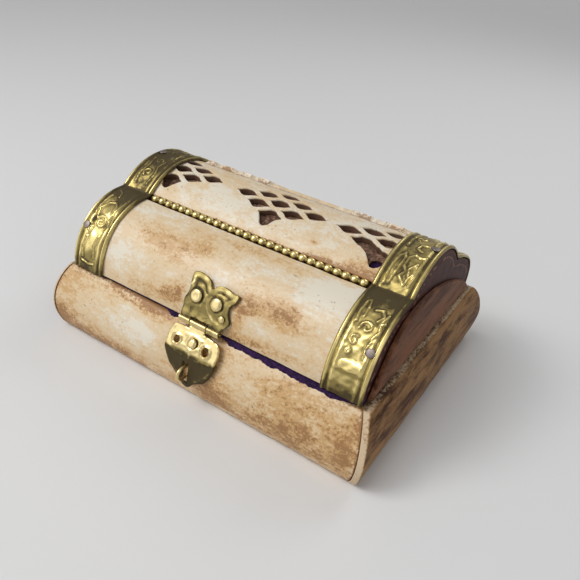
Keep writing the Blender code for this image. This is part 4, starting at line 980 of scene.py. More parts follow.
@dataclass
class LidBone:
    """The lobes' and the dome's bone, the fretwork and the bone on the lid's ends."""

    bone: Finish
    stained_bone: Finish
    wear: float = 0.5
    spacing: float = 0.5
    joint: float = 8.5
    proud: float = 0.9
    loose: float = 0.75
    proud_half: float = 42.4
    proud_fall: float = 0.7
    flaked_back: float = 2.6
    nick: float = 0.3
    slivers: tuple = ((-38.5, 2.2), (-31.0, 3.4), (-22.5, 3.0), (-14.5, 3.4), (25.0, 5.0), (37.0, 4.6))
    clusters: tuple = ((-41.41, 8.28), (1.01, 8.18), (41.01, 8.89))
    step_x: float = 6.802
    step_arc: float = 3.25
    in_front: float = 3.6
    hole_width: float = 4.6
    lowest_width: float = 9.8
    ogee: float = 0.09
    fullness: float = 0.06
    opened: float = 1.16
    plate_outline: tuple = (
        (-39.6, 0.4), (-36.3, 6.0), (-32.0, 11.7), (-27.5, 15.9), (-22.5, 18.5), (-15.0, 19.7),
        (-6.0, 19.3), (3.0, 17.7), (13.0, 14.7), (23.0, 10.7), (32.5, 6.1), (40.6, 0.4))
    owl_foot: tuple = ((8.5, 1.9), (-7.0, 1.9), (-7.2, 4.5))
    blots: tuple = (
        (-30.6, -32.3, 43.4, 8.0, 4.5, 0.55), (-19.0, -33.0, 42.7, 9.0, 4.5, 0.42),
        (-8.0, -30.0, 44.6, 10.0, 4.0, 0.5), (-16.0, -41.2, 31.5, 3.0, 3.0, 1.1),
        (-10.8, -40.8, 32.4, 2.6, 4.5, 1.0), (-26.0, -41.8, 28.5, 12.0, 3.0, 0.6),
        (24.0, -41.9, 28.0, 14.0, 2.4, 0.75), (27.0, -37.5, 38.5, 7.0, 4.0, 1.15),
        (13.0, -41.0, 31.0, 2.5, 7.0, 0.7), (10.0, -24.0, 46.6, 22.0, 2.6, 0.55),
        (16.5, -38.0, 37.5, 6.0, 3.5, 0.85), (20.4, -13.3, 51.2, 1.5, 0.9, 1.0),
        (30.0, -17.0, 48.0, 14.0, 3.5, 0.75), (40.0, -15.5, 49.3, 8.0, 5.0, 0.7),
        (0.0, -17.4, 47.8, 30.0, 1.4, 0.5), (36.5, -27.0, 45.8, 9.0, 7.0, -0.8),
        (-38.0, -38.0, 37.5, 5.0, 9.0, -0.4), (3.0, -37.0, 39.5, 6.0, 6.0, -0.4),
        (38.0, -40.0, 33.0, 6.0, 6.0, 0.25), (-6.0, -36.0, 39.5, 34.0, 9.0, 0.32),
        (-15.0, -10.0, 52.5, 26.0, 6.0, -0.35))

    def lobe(self, side: Side) -> Thing:
        """A lobe's bone: a sheet along the lobe from the seam to just short of the beads."""
        if side is Side.FRONT:
            path = LINES.lobe()
            low, high = 0.0, path.total - LINES.bead_seat
        else:
            path = LINES.rear_lobe()
            low, high = LINES.bead_seat, path.total
        name, node = f"{side.word}_lobe_bone", f"lid_{side.word}_bone"
        return self.sheet(name, path, low, high, node, 7 + side.value)

    def sheet(self, name: str, path: SidePath, low: float, high: float, node: str, seed: int,
              lift: Place | None = None) -> Thing:
        """A plain bent sheet of bone: height is a gentle unevenness less the worn edges, plus a lift."""
        half = LINES.bone_half
        arc, x = net(graded(low, high, self.spacing), graded(-half, half, self.spacing))
        flat = path.laid(x, arc, 0.0)
        height = -worn(border_distance(flat), self.wear) - dimples(seed, 15.0, 0.06)(x, arc)
        by_strap = np.exp(-np.abs(np.abs(x) - LINES.strap_in) / 0.4)
        edge = np.maximum(np.exp(-np.minimum(arc - low, high - arc) / 0.9), 0.75 * by_strap)
        if lift is not None:
            height = lift(x, arc, height)
            edge = edge + 0.6 * fade(arc - low, 1.4)
        # A darker line round the owl plate: partly soiling on the bone, partly painted shadow at the
        # plate's edge.
        if name == "front_lobe_bone":
            owl = [*Hasp.owl, *self.owl_foot]
            edge = np.maximum(edge, 0.9 * np.exp(-near_line(x, arc, [*owl, owl[0]]) / 0.55))
        numbers = {"stain": stained(flat, self.blots), "edge": edge}
        made = slab(name, path.laid(x, arc, height), path.laid(x, arc, -LINES.bone), self.bone, numbers)
        return seat(made, Body.LID, "bone", node)

    def ridge_bone(self) -> Thing:
        """The dome's rear bone, proud of the front one between the straps, with a chipped front edge."""
        path = LINES.dome()
        low = LINES.crest() + self.joint + LINES.gap / 2
        chips = ripples(21, 7.0)
        small = ripples(22, 2.0)

        def lift(x: Grid, arc: Grid, height: Grid) -> Grid:
            """Stands the sheet proud, but for the flakes broken off its front edge."""
            share = ramp(self.proud_half + self.proud_fall - np.abs(x), self.proud_fall)
            kept = np.clip(sum(ridge(x - middle, wide) for middle, wide in self.slivers) * 1.5, 0.0, 1.0)
            nicks = self.nick * (1.0 - 0.8 * kept) * np.abs(small(x, 0 * x))
            flake = (1.0 - kept) * (self.flaked_back + chips(x, 0 * x)) + nicks
            left = ramp(arc - low - flake, 0.35)
            uneven = 0.1 * (1.0 - 0.7 * kept) * small(x, arc) * fade(arc - low, 2.0)
            curl = self.loose * kept * left * fade(arc - low, 2.2)
            return np.minimum(height + share * (self.proud * left + uneven), self.proud) + share * curl

        high = path.total - LINES.bead_seat
        return self.sheet("dome_rear_plate", path, low, high, "dome_rear_bone", 9, lift)

    def hole(self, x: float, arc: float, length: float, low_width: float, steps: int = 6) -> Grid:
        """An ogee lozenge: each quarter swings in near the long tips and out near the short ones.

        With p running from 0 at a long tip to 1 at a short one, the width is
        p + fullness sin(pi p) - ogee sin(2 pi p).
        """
        share = np.arange(steps) / steps
        points = []
        for right, back in ((1, 1), (-1, 1), (-1, -1), (1, -1)):
            part = 1.0 - share if right * back < 0 else share
            width = self.hole_width if back > 0 else low_width
            swing = part + self.fullness * np.sin(np.pi * part) - self.ogee * np.sin(2 * np.pi * part)
            points.append(np.stack([x + right * length / 2 * (1.0 - part),
                                    arc + back * width / 2 * swing], axis=1))
        return np.concatenate(points)

    def holes(self) -> list[Grid]:
        """All the fretwork's holes. On the right the bridge behind the lowest one is broken."""
        crest = LINES.crest()
        found = []
        for number, (centre, length) in enumerate(self.clusters):
            cluster = {}
            for first in (-1, 0, 1):
                for second in (-1, 0, 1):
                    x = centre + (first + second) * self.step_x
                    arc = crest - self.in_front + (first - second) * self.step_arc
                    width = self.lowest_width if (first, second) == (-1, 1) else self.hole_width
                    if abs(x) + length / 2 < LINES.bone_half - 1.0:
                        cluster[first, second] = self.hole(x, arc, length * self.opened, width)
            if number == len(self.clusters) - 1:
                upper = cluster.pop((-1, 0))
                lowest = cluster.pop((-1, 1))
                quarter = len(upper) // 4
                cluster["broken"] = np.concatenate(
                    [upper[:3 * quarter + 1], lowest[2 * quarter:], lowest[:quarter + 1]])
            found += cluster.values()
        along, across = ripples(31, 2.4), ripples(32, 2.1)
        return [hole + np.stack([0.12 * along(*hole.T), 0.10 * across(*hole.T)], axis=1) for hole in found]

    def fretwork(self) -> Thing:
        """The dome's front bone: a pierced sheet whose hand-cut holes have worn edges."""
        path = LINES.dome()
        low, high = LINES.bead_seat, LINES.crest() + self.joint - LINES.gap / 2
        half = LINES.bone_half
        outline = np.array([(-half, low), (half, low), (half, high), (-half, high)])
        dimple = dimples(11, 14.0, 0.06)

        def numbers(x: Grid, arc: Grid, _: Grid) -> dict[str, Grid]:
            """The stain, and darker bone towards the beads and the joint."""
            return {"stain": stained(path.laid(x, arc, 0.0), self.blots),
                    "edge": fade(arc - low, 0.9) + 2.2 * fade(high - arc, 1.8)}

        made = pierced("fretwork_bone", [outline, *self.holes()], path.laid, LINES.bone, self.bone,
                       0.9, 0.28, lambda x, arc, _: -dimple(x, arc), numbers)
        return seat(made, Body.LID, "bone", "dome_front_bone")

    def end_plate(self, end: End) -> Thing:
        """The bone on a lid's end: a flat plate with soft, worn edges."""
        outline = catmull(np.array(self.plate_outline) + (0.0, LINES.seam), 4)
        dimple = dimples(13 + end.value, 9.0, 0.09)
        place = upright(end, LINES.half_length + LINES.gap + LINES.end_bone)
        made = pierced(f"{end.word}_lid_bone", [outline], place, LINES.end_bone, self.stained_bone,
                       1.0, 0.8, lambda y, z, _: -dimple(y, z),
                       lambda y, z, distance: {"edge": 0.45 * fade(distance, 0.6)})
        return seat(made, Body.LID, "stained_bone", f"lid_{end.word}_end_bone")

    def build(self) -> None:
        """Builds the lid's bone."""
        for side in Side:
            self.lobe(side)
        self.ridge_bone()
        self.fretwork()
        for end in End:
            self.end_plate(end)


@dataclass
class EndBoards:
    """The lid's wooden end boards, with a rounded lip inside the straps' edge."""

    wood: Finish
    thickness: float = 6.0
    wear: float = 0.7
    lip: float = 2.1
    groove: float = 0.3

    def board(self, end: End) -> Thing:
        """One board: the lid's outline, rounded off, with a shallow groove inside the lip."""
        line = LINES.lid()
        outline = line.place(np.linspace(0.0, line.total, 150))
        dimple = dimples(41 + end.value, 6.0, 0.05)

        def relief(y: Grid, z: Grid, distance: Grid) -> Grid:
            """The lip's groove, and small tool marks."""
            at_seam = ramp(z - LINES.seam, 1.5)
            return -self.groove * ridge(distance - self.lip, 0.5) * at_seam - dimple(y, z)

        def numbers(_: Grid, z: Grid, distance: Grid) -> dict[str, Grid]:
            """The pale worn line inside the lip."""
            at_seam = ramp(z - LINES.seam - 1.0, 2.0)
            return {"edge": 0.85 * ridge(distance - self.lip - 0.5, 0.35) * at_seam}

        made = pierced(f"{end.word}_end_board", [outline], upright(end, LINES.half_length), self.thickness,
                       self.wood, 0.9, self.wear, relief, numbers)
        return seat(made, Body.LID, "stained_wood", f"lid_{end.word}_end")

    def build(self) -> None:
        """Builds both boards."""
        for end in End:
            self.board(end)


@dataclass
class Straps:
    """The straps of thin pressed brass over the lid's ends, their scrollwork, dents and nails."""

    brass: Finish
    steel: Finish
    sheet: float = 0.6
    line_height: float = 0.38
    scroll_height: float = 0.34
    spacing: float = 0.24
    bead_in: float = 0.75
    groove_in: float = 1.65
    border_in: float = 2.75
    cushion: tuple[float, float, float, float] = (7.2, 9.6, 3.4, 1.6)
    hollow_arc: float = 7.6
    tear: tuple[float, float, float] = (9.6, 17.5, 1.9)
    nail_inset: float = 2.2
    nail_arc: float = 14.9

    def scrolls(self, end: End) -> list[Grid]:
        """The scrollwork's lines, as (in from the inner edge, along the strap)."""
        if end is End.RIGHT:
            drawn = [
                spiral(6.9, 20.6, 2.1, 1.1, 200.0, -1), spiral(5.2, 16.4, 1.5, 1.1, 60.0),
                spiral(4.7, 13.2, 0.8, 0.9, 80.0, -1), [(3.2, 21.5), (2.7, 24.5), (3.1, 28.6), (3.9, 29.4)],
                [(3.9, 29.4), (4.4, 26.6), (4.6, 23.6)],
                [(6.6, 26.6), (8.6, 27.2), (9.8, 25.2), (8.8, 23.6)],
                [(10.9, 26.2), (9.6, 22.8), (10.8, 20.9), (9.6, 18.2)], [(9.6, 22.8), (11.2, 23.4)],
                [(9.9, 17.6), (9.3, 15.4), (9.7, 12.4)],
                [(3.0, 38.2), (2.6, 43.0), (3.2, 48.2), (4.2, 50.2), (5.0, 48.0), (4.8, 43.6), (4.2, 38.8)],
                [(7.4, 50.4), (6.0, 48.8), (6.0, 45.6), (7.2, 43.8), (6.2, 41.8), (8.6, 39.2), (9.0, 41.6)],
                [(9.0, 41.6), (7.8, 44.6), (9.4, 46.9), (9.8, 43.2), (9.0, 41.6)],
                [(7.4, 50.4), (9.2, 49.6), (10.9, 50.2), (10.5, 45.0), (10.1, 39.4)],
                [(8.2, 52.6), (6.4, 53.6), (6.8, 55.8), (9.0, 56.2)],
                spiral(5.6, 60.0, 1.9, 1.1, 250.0, -1),
                [(3.1, 53.6), (2.8, 58.0), (3.4, 62.4)], [(10.4, 57.0), (9.9, 60.4), (10.6, 63.4)],
            ]
        else:
            drawn = [
                spiral(6.2, 17.4, 2.5, 1.3, 20.0), [(8.9, 18.6), (9.8, 22.0), (8.4, 25.0), (6.2, 25.8)],
                [(6.2, 25.8), (4.6, 24.2), (4.2, 21.0)], spiral(9.2, 14.2, 1.1, 1.0, 120.0, -1),
                [(2.9, 27.0), (3.3, 22.0), (2.9, 17.0)], [(10.2, 28.0), (10.7, 24.0), (10.3, 20.0)],
                [(7.4, 28.4), (8.2, 30.6), (10.0, 31.6)], [(4.2, 12.6), (5.0, 9.0), (4.4, 5.4)],
                [(9.2, 11.6), (9.8, 8.0), (9.2, 4.6)], [(4.0, 3.2), (6.6, 2.7), (9.6, 3.3)],
                [(4.4, 39.6), (3.8, 44.0), (5.2, 47.4), (4.6, 51.0)], spiral(7.3, 44.2, 1.7, 1.1, 300.0),
                [(9.2, 39.0), (10.0, 43.0), (9.3, 47.2), (10.2, 51.6)],
                spiral(7.4, 50.6, 1.6, 1.0, 180.0, -1),
                [(3.0, 54.0), (3.6, 58.6), (3.0, 63.0)], spiral(7.0, 58.6, 2.2, 1.2, 90.0),
            ]
        behind = [
            spiral(6.6, 71.0, 2.3, 1.2, 30.0), spiral(7.0, 86.5, 2.5, 1.2, 140.0, -1),
            spiral(6.6, 95.0, 2.2, 1.2, 220.0),
            [(3.2, 67.0), (3.9, 72.0), (3.2, 76.5)], [(10.2, 67.5), (9.6, 72.0), (10.3, 76.0)],
            [(3.2, 83.0), (3.8, 90.0), (3.1, 98.0)], [(10.3, 83.0), (9.8, 91.0), (10.4, 99.0)],
            [(4.2, 103.5), (6.6, 101.8), (9.2, 103.6)], [(4.2, 107.5), (6.6, 106.0), (9.2, 107.6)],
        ]
        return [np.asarray(line, float) for line in (*drawn, *behind)]

    def relief(self, end: End, inset: Grid, arc: Grid) -> tuple[Grid, Grid]:
        """The pressed height and what counts as raised.

        Each edge has a narrow bead, a groove and a softer bead that borders the panel. The panel has
        the scrollwork's thin rounded ridges over smooth dents of two sizes, and on the right a
        lens-shaped cushion with a band of painted shade below it, where the height has no hollow.
        """
        rim = np.minimum(inset, LINES.strap - inset)
        lines = ridge(rim - self.bead_in, 0.36)
        border = ridge(rim - self.border_in, 0.55)
        grooves = ridge(rim - self.groove_in, 0.38)
        near = np.minimum.reduce([near_line(inset, arc, line) for line in self.scrolls(end)])
        drawn = ridge(near, 0.27)
        beside = ridge(near - 0.62, 0.28)
        dents = ripples(51 + end.value, 9.0)(inset, arc) + 0.5 * ripples(54 + end.value, 3.0)(inset, arc)
        panel = ramp(rim - 1.0, 2.0)
        height = self.line_height * lines + 0.18 * border - 0.2 * grooves + self.scroll_height * drawn
        across, along, wide, long = self.cushion
        lens = np.clip(1.15 - ((inset - across) / wide) ** 2 - ((arc - along) / long) ** 2, 0.0, 1.0)
        right = end is End.RIGHT
        fold = right * np.sqrt(lens)
        height = height + 0.13 * dents * panel - 0.06 * beside + 0.42 * fold
        proud = (0.8 * lines + 0.35 * border - 1.2 * grooves + 0.9 * drawn - 0.6 * beside
                 + 0.3 * dents * panel)
        # Painted shade: a dark band just below the right strap's cushion, in the colour only.
        proud = proud + 0.8 * fold - right * 0.9 * ridge(arc - self.hollow_arc, 0.7) * panel
        return height, proud

    def strap(self, end: End) -> Thing:
        """One strap: a sheet along the lid's softened outline, in relief, from seam to seam."""
        path = LINES.lid().softened(0.8)
        step = LINES.lobe().total
        crest = step + LINES.crest()
        arc, inset = net(graded(0.0, path.total, self.spacing, 0.5),
                         graded(0.0, LINES.strap, self.spacing, 0.5))
        height, proud = self.relief(end, inset, arc)
        x = end.value * (LINES.half_length - LINES.strap + inset)
        distance = np.minimum.reduce([inset, LINES.strap - inset, arc, path.total - arc])
        outer = LINES.gap + self.sheet + height - worn(distance, 0.28)
        inner = LINES.gap + np.clip(0.6 * height, 0.0, 0.25)
        # Painted shade and light on the brass, carried in the shade attribute: darker in both steps, on the
        # lobe just below the front step, at the seam end and over the crest; lighter low on the front lobe.
        into_step = np.minimum(np.abs(arc - step), np.abs(arc - step - LINES.dome().total))
        below_step = ridge(arc - step + 3.0, 5.6) * ramp(step + 1.0 - arc, 1.2)
        shade = 0.5 * ridge(into_step, 1.6) + 1.25 * below_step + 1.05 * ridge(arc, 3.6)
        over = 0.7 if end is End.LEFT else 0.25
        shade = shade + over * ridge(arc - crest, 10.0) - 0.45 * ridge(arc - 0.3 * step, 8.0) - 0.2
        # On the left: more painted shade over the dome, and the tear, pressed in, darkened.
        if end is End.LEFT:
            shade = shade + 0.35 * ridge(arc - crest + 6.0, 16.0)
            across, along, long = self.tear
            tear = ridge(np.hypot(inset - across, (arc - along) / long), 0.55)
            outer, shade = outer - 0.45 * tear, shade + 2.0 * tear
        numbers = {"relief": proud - 0.35, "shade": shade}
        made = slab(f"{end.word}_pressed_strap", path.laid(x, arc, outer), path.laid(x, arc, inner),
                    self.brass, numbers, SOFT_CREASE)
        return seat(made, Body.LID, "strap_brass", f"{end.word}_strap")

    def build(self) -> None:
        """Builds both straps and their nails."""
        path = LINES.lid()
        nail = Nail(head=1.4, rise=0.36, length=4.5)
        arcs = {"front": self.nail_arc, "top": LINES.lobe().total + LINES.crest(),
                "rear": path.total - self.nail_arc}
        for end in End:
            self.strap(end)
            for word, arc in arcs.items():
                x = end.value * (LINES.half_length - self.nail_inset)
                node = f"{end.word}_strap_{word}_nail"
                made = nail.on(path, f"{node}_head", x, arc, 2 * LINES.gap + self.sheet, self.steel)
                seat(made, Body.LID, "steel", node)


@dataclass(frozen=True)
class Nail:
    """A nail with a domed, slightly beaten head and a pointed shank."""

    head: float
    rise: float
    length: float
    shank: float = 0.45
    dish: float = 0.0

    def profile(self) -> Grid:
        """Radii and heights from the crown down: an elliptic dome, the underside and the shank."""
        turn = np.linspace(0.06, 1.0, 9) * np.pi / 2
        radii = self.head * np.sin(turn)
        heights = self.rise * (0.12 + 0.88 * np.cos(turn) ** 0.8)
        heights -= self.dish * self.rise * ridge(radii, 0.5 * self.head)
        shank = [(0.97 * self.head, 0.0), (self.shank, 0.0),
                 (self.shank, 0.5 - self.length), (0.1, -self.length)]
        return np.concatenate([np.stack([radii, heights], axis=1), shank])

    def on(self, path: SidePath, name: str, x: float, arc: float, height: float,
           finish: Finish) -> Thing:
        """Drives the nail square to a line, its head resting at a height over it."""
        foot, tip = (path.laid(x, arc, up) for up in (height, height + 1.0))
        profile = self.profile()
        proud = np.where(profile[:, 1] > 0.25 * self.rise, 0.55, -0.6)
        # Painted light: a shade below zero paints every head brighter.
        numbers = {"relief": proud, "shade": np.full(len(profile), -0.45)}
        return turned(name, foot, tip - foot, profile, finish, numbers)


@dataclass
class BeadRows:
    """The beaded brass wire along each step."""

    brass: Finish
    radius: float = 1.35
    pitch: float = 3.05
    rise: float = 0.3
    waist: float = 0.5
    sides: int = 14

    def row(self, side: Side) -> Thing:
        """One row: the radius along the wire is an ellipse for each bead, never less than the waist."""
        groove = LINES.lobe().points[-1] if side is Side.FRONT else LINES.rear_lobe().points[0]
        count = int(2 * (LINES.half_length - LINES.strap - LINES.gap) / self.pitch)
        share = np.linspace(-0.5, 0.5, 11)[:-1]
        middles = (np.arange(count) - (count - 1) / 2)[:, None]
        x = np.append(((middles + share) * self.pitch).ravel(), count / 2 * self.pitch)
        swell = np.sqrt(np.clip(1.0 - (share / 0.52) ** 2, 0.0, 1.0))
        size = np.append(np.tile(np.maximum(swell, self.waist), count), self.waist)
        uneven = 1.0 + 0.04 * np.sin(x * 1.7) * np.cos(x * 0.61)
        turns = around(self.sides)
        out = self.radius * (size * np.minimum(uneven, 1.0))[:, None]
        grid = np.stack(np.broadcast_arrays(x[:, None], groove[0] + out * np.cos(turns),
                                            groove[1] + self.rise + out * np.sin(turns)), axis=-1)
        # Painted light: the sine term makes each bead's top lighter and its underside darker; the waists
        # are darker as low relief.
        proud = (size * 1.8 - 1.35)[:, None] + 0.35 * (np.sin(turns) - 0.4)
        made = tube(f"{side.word}_beads", grid, self.brass, {"relief": proud.ravel()}, 75.0)
        return seat(made, Body.LID, "bead_brass", f"{side.word}_bead_row")

    def build(self) -> None:
        """Builds both rows."""
        for side in Side:
            self.row(side)


@dataclass
class Hasp:
    """The owl-shaped plate, its nails, the hinged leaf with its rivet, and the staple."""

    brass: Finish
    axis: tuple[float, float] = (-43.8, 26.7)
    span: tuple[float, float] = (-7.0, 8.5)
    tab: tuple[float, float] = (-2.7, 4.0)
    eyes: tuple = ((-2.8, 9.2), (5.0, 9.2))
    tack: tuple[float, float] = (8.0, 5.8)
    owl: tuple = (
        (9.2, 2.9), (10.8, 5.2), (9.9, 7.4), (9.4, 9.9), (10.9, 11.8), (11.3, 14.0), (8.8, 14.3),
        (6.6, 14.8), (4.6, 14.8), (2.9, 14.1), (1.6, 12.9), (0.2, 14.8), (-2.0, 15.8), (-4.4, 16.1),
        (-6.6, 15.6), (-6.7, 13.4), (-6.1, 10.2), (-7.2, 7.0), (-7.2, 4.5))
    leaf: tuple = (
        (6.0, 2.2), (8.5, 2.6), (9.8, 3.2), (10.4, 4.4), (10.9, 6.2), (10.7, 9.0), (10.6, 11.1),
        (10.0, 13.2), (8.7, 15.5), (7.7, 17.1), (5.9, 18.2), (4.4, 19.0), (3.3, 19.8), (2.6, 20.8),
        (1.5, 21.4), (0.2, 21.3), (-0.9, 20.7), (-1.8, 19.7), (-3.5, 18.4), (-5.3, 16.8), (-6.5, 15.9),
        (-8.0, 13.6), (-9.0, 11.1), (-9.1, 10.0), (-8.8, 8.7), (-8.9, 6.2), (-8.7, 4.9), (-8.1, 3.4),
        (-7.6, 2.1))
    leaf_holes: tuple = ((-5.1, 6.8, 1.1), (6.2, 6.7, 1.3))
    leaf_top: tuple[float, float] = (0.95, 2.0)
    slot: tuple = ((-1.1, 12.9), (1.1, 12.9), (1.1, 20.0), (-1.1, 20.0))
    rivet: tuple[float, float] = (1.1, 6.0)
    rivet_foot: tuple = ((1.55, 0.0), (0.45, 0.0), (0.45, -1.3), (0.9, -1.3), (0.85, -1.65))
    fold: tuple[float, float] = (4.6, 7.6)
    hang: tuple[float, float] = (1.35, 9.1)
    knuckle: tuple[float, float, float] = (1.1, 0.75, 0.18)
    knuckle_sides: int = 32
    overlap: float = 0.05
    stand: float = 1.8
    tab_low: float = 1.95
    tab_shoulder: float = 2.9
    tab_rise: float = 3.0
    notch: float = 2.65
    mesh: tuple[float, float] = (0.42, 0.2)
    staple_height: float = 11.8
    staple_wire: float = 0.6
    staple_bend: float = 2.0
    staple_reach: float = 5.1
    staple_root: float = 4.5
    brows: tuple = (
        ((1.2, 9.4), (1.6, 7.4), (2.9, 5.4), (5.0, 4.2), (7.0, 3.8)),
        ((0.2, 8.6), (0.6, 10.4)), ((-0.6, 6.6), (-0.2, 7.4)), ((9.0, 8.4), (9.2, 10.4)),
        ((-6.4, 11.6), (-5.4, 12.6)))
    arms: tuple = (
        ((1.0, 8.6), (1.0, 10.6)), ((0.6, 8.2), (-1.2, 7.4), (-3.2, 7.5)),
        ((1.6, 8.0), (3.0, 6.9), (4.4, 6.9)),
        ((-2.2, 4.0), (0.4, 3.6), (4.0, 4.2)), ((-7.6, 12.4), (-5.2, 15.4), (-2.6, 17.6)),
        ((9.4, 12.4), (7.4, 15.4), (4.6, 17.8)), ((3.4, 10.6), (5.6, 10.2), (8.6, 9.8)),
        ((-1.8, 10.6), (-4.6, 10.4), (-7.6, 9.4)))

    def circle(self, x: float, arc: float, radius: float) -> Grid:
        """A round hole's loop."""
        turn = around(20)
        return np.stack([x + radius * np.cos(turn), arc + radius * np.sin(turn)], axis=1)

    def with_knuckles(self, made: Thing, spans: Sequence[tuple[float, float]]) -> Thing:
        """Adds knuckles on the hasp's axis to a leaf's mesh.

        A knuckle's outside is a rounded square, r = size (|cos|^5 + |sin|^5)^(-1/5), its bore is round.
        """
        radius, bore, soft = self.knuckle
        turns = around(self.knuckle_sides)
        square = (np.abs(np.cos(turns)) ** 5 + np.abs(np.sin(turns)) ** 5) ** -0.2
        shape = bmesh.new()
        shape.from_mesh(made.data)
        for left, right in spans:
            section = np.array([(radius - soft, left), (radius, left + soft), (radius, right - soft),
                                (radius - soft, right), (bore, right), (bore, left)])
            size = section[:, 0, None] * np.where(section[:, 0, None] > bore, square, 1.0)
            back, up = self.axis[0] + size * np.cos(turns), self.axis[1] + size * np.sin(turns)
            grid = np.stack(np.broadcast_arrays(section[:, 1, None], back, up), axis=-1).reshape(-1, 3)
            extra = piece("knuckle", grid, [quads(len(section), len(turns), True, True)], self.brass,
                          {"relief": np.full(len(grid), 0.3)})
            shape.from_mesh(extra.data)
            bpy.data.objects.remove(extra)
        shape.to_mesh(made.data)
        shape.free()
        return made

    def plate(self) -> Thing:
        """The owl: a pierced sheet on the lobe that rises to its knuckles, with brow and ear ridges."""
        path = LINES.lobe()
        start, notch = self.tab_low, self.notch
        left, right = self.span
        low, high = self.tab
        tabs = [(left, self.tab_shoulder), (left, start), (low, start), (low, notch),
                (high, notch), (high, start), (right, start)]
        outline = np.concatenate([catmull(np.array(self.owl), 3), tabs])
        lift = self.stand - LINES.gap - LINES.leaf / 2
        dents = ripples(61, 2.5)

        def place(x: Grid, arc: Grid, height: Grid) -> Grid:
            """Places over the lobe: the sheet stands off towards its knuckles in a smooth step."""
            share = np.clip(1.0 - (arc - start) / self.tab_rise, 0.0, 1.0)
            rise = lift * share * share * (3.0 - 2.0 * share)
            return path.laid(x, arc, LINES.gap + LINES.leaf + rise + height)

        def relief(x: Grid, arc: Grid, distance: Grid) -> Grid:
            """Raised bands along the ears, dished eyes, low ridges and small dents."""
            ears = ramp(arc - 10.0, 1.4)
            raised = ears * (0.2 * ramp(2.3 - distance, 0.5) - 0.3 * ridge(distance - 2.0, 0.3))
            for brow in self.brows:
                raised = raised + 0.2 * ridge(near_line(x, arc, brow), 0.4)
            for eye in self.eyes:
                away = np.hypot(x - eye[0], arc - eye[1])
                raised = raised * (1.0 - 0.9 * ridge(away, 2.2)) + 0.14 * ridge(away - 2.9, 0.4)
            raised = raised * ramp(arc - 2.4, 1.5)
            return raised + 0.045 * dents(x, arc)

        def numbers(x: Grid, arc: Grid, distance: Grid) -> dict[str, Grid]:
            """Where the relief is proud, painted shade round each eye nail's head and along the edges, and
            a darker tone over the whole plate.
            """
            # Painted shade: a ring round each eye nail's head, and the plate's edges.
            under = sum(ridge(np.hypot(x - eye[0], arc - eye[1]) - 2.4, 0.5) for eye in self.eyes)
            rim = fade(distance, 0.25)
            return {"relief": relief(x, arc, distance) * 3.0 - 0.2,
                    "shade": 0.5 * under + 0.7 * rim + 0.25}

        made = pierced("owl_plate", [outline], place, LINES.leaf, self.brass, *self.mesh, relief, numbers)
        more = self.overlap
        made = self.with_knuckles(made, [(left - more, low + more), (high - more, right + more)])
        return seat(made, Body.LID, "hasp_brass", "hasp_plate")

    def swinging_leaf(self) -> Thing:
        """The leaf: a pierced sheet that slants out from its knuckle and hangs over the staple."""
        axis = np.array(self.axis)
        fold = axis - np.array(self.fold)
        path = SidePath(np.array([axis, fold, fold - 2.2 * np.array(self.hang)])).softened(0.28, 0.06)
        low, high = self.tab[0] + LINES.gap, self.tab[1] - LINES.gap
        top, under = self.leaf_top
        outline = np.concatenate([[(high, top), (high, under)], catmull(np.array(self.leaf), 3),
                                  [(low, under), (low, top)]])
        holes = [self.circle(*hole) for hole in self.leaf_holes]
        bend = float(np.linalg.norm(self.fold))
        dents = ripples(62, 2.3)

        def place(x: Grid, arc: Grid, height: Grid) -> Grid:
            """Places on the leaf: its front is to the right of the downward line."""
            return path.laid(x, arc, -(height + LINES.leaf / 2))

        def relief(x: Grid, arc: Grid, distance: Grid) -> Grid:
            """Bosses round the holes and the rivet, pressed arms, a lip, and small dents."""
            raised = sum((0.3 * ridge(near_line(x, arc, arm), 0.45) for arm in self.arms), 0.0 * x)
            rings = [*((*hole, 0.32) for hole in self.leaf_holes), (*self.rivet, 1.85, 0.25)]
            for u, v, radius, tall in rings:
                raised = np.maximum(raised, tall * ridge(np.hypot(x - u, arc - v) - radius - 0.45, 0.4))
            raised = raised * ramp(arc - 2.4, 1.0)
            return raised + 0.12 * ridge(distance - 0.5, 0.35) + 0.05 * dents(x, arc)

        def numbers(x: Grid, arc: Grid, distance: Grid) -> dict[str, Grid]:
            """Where the relief is proud, and painted light and shade: darker over the lower half, which
            faces down, lighter above the fold, and darker along the edges.
            """
            # Painted shade below the fold and painted light above it.
            below = ramp(arc - bend, 1.2)
            rim = fade(distance, 0.25)
            return {"relief": relief(x, arc, distance) * 2.4 - 0.1 * below,
                    "shade": 1.15 * below - 0.45 * (1.0 - below) + 0.35 * rim}

        made = pierced("hasp_tongue", [outline, *holes, self.slot], place, LINES.leaf, self.brass,
                       *self.mesh, relief, numbers)
        made = self.with_knuckles(made, [(low - self.overlap, high + self.overlap)])
        seat(made, Body.HASP, "hasp_brass", "hasp_leaf")
        foot, tip = (path.laid(*self.rivet, up) for up in (-(LINES.leaf / 2 + LINES.gap), -2.0))
        profile = np.concatenate([Nail(1.6, 1.0, 1.3, dish=0.12).profile()[:-4], self.rivet_foot])
        made = turned("leaf_rivet", foot, tip - foot, profile, self.brass,
                      {"relief": np.where(profile[:, 1] > 0.2, 0.7, -0.6)}, 28)
        return seat(made, Body.HASP, "hasp_brass", "hasp_rivet")

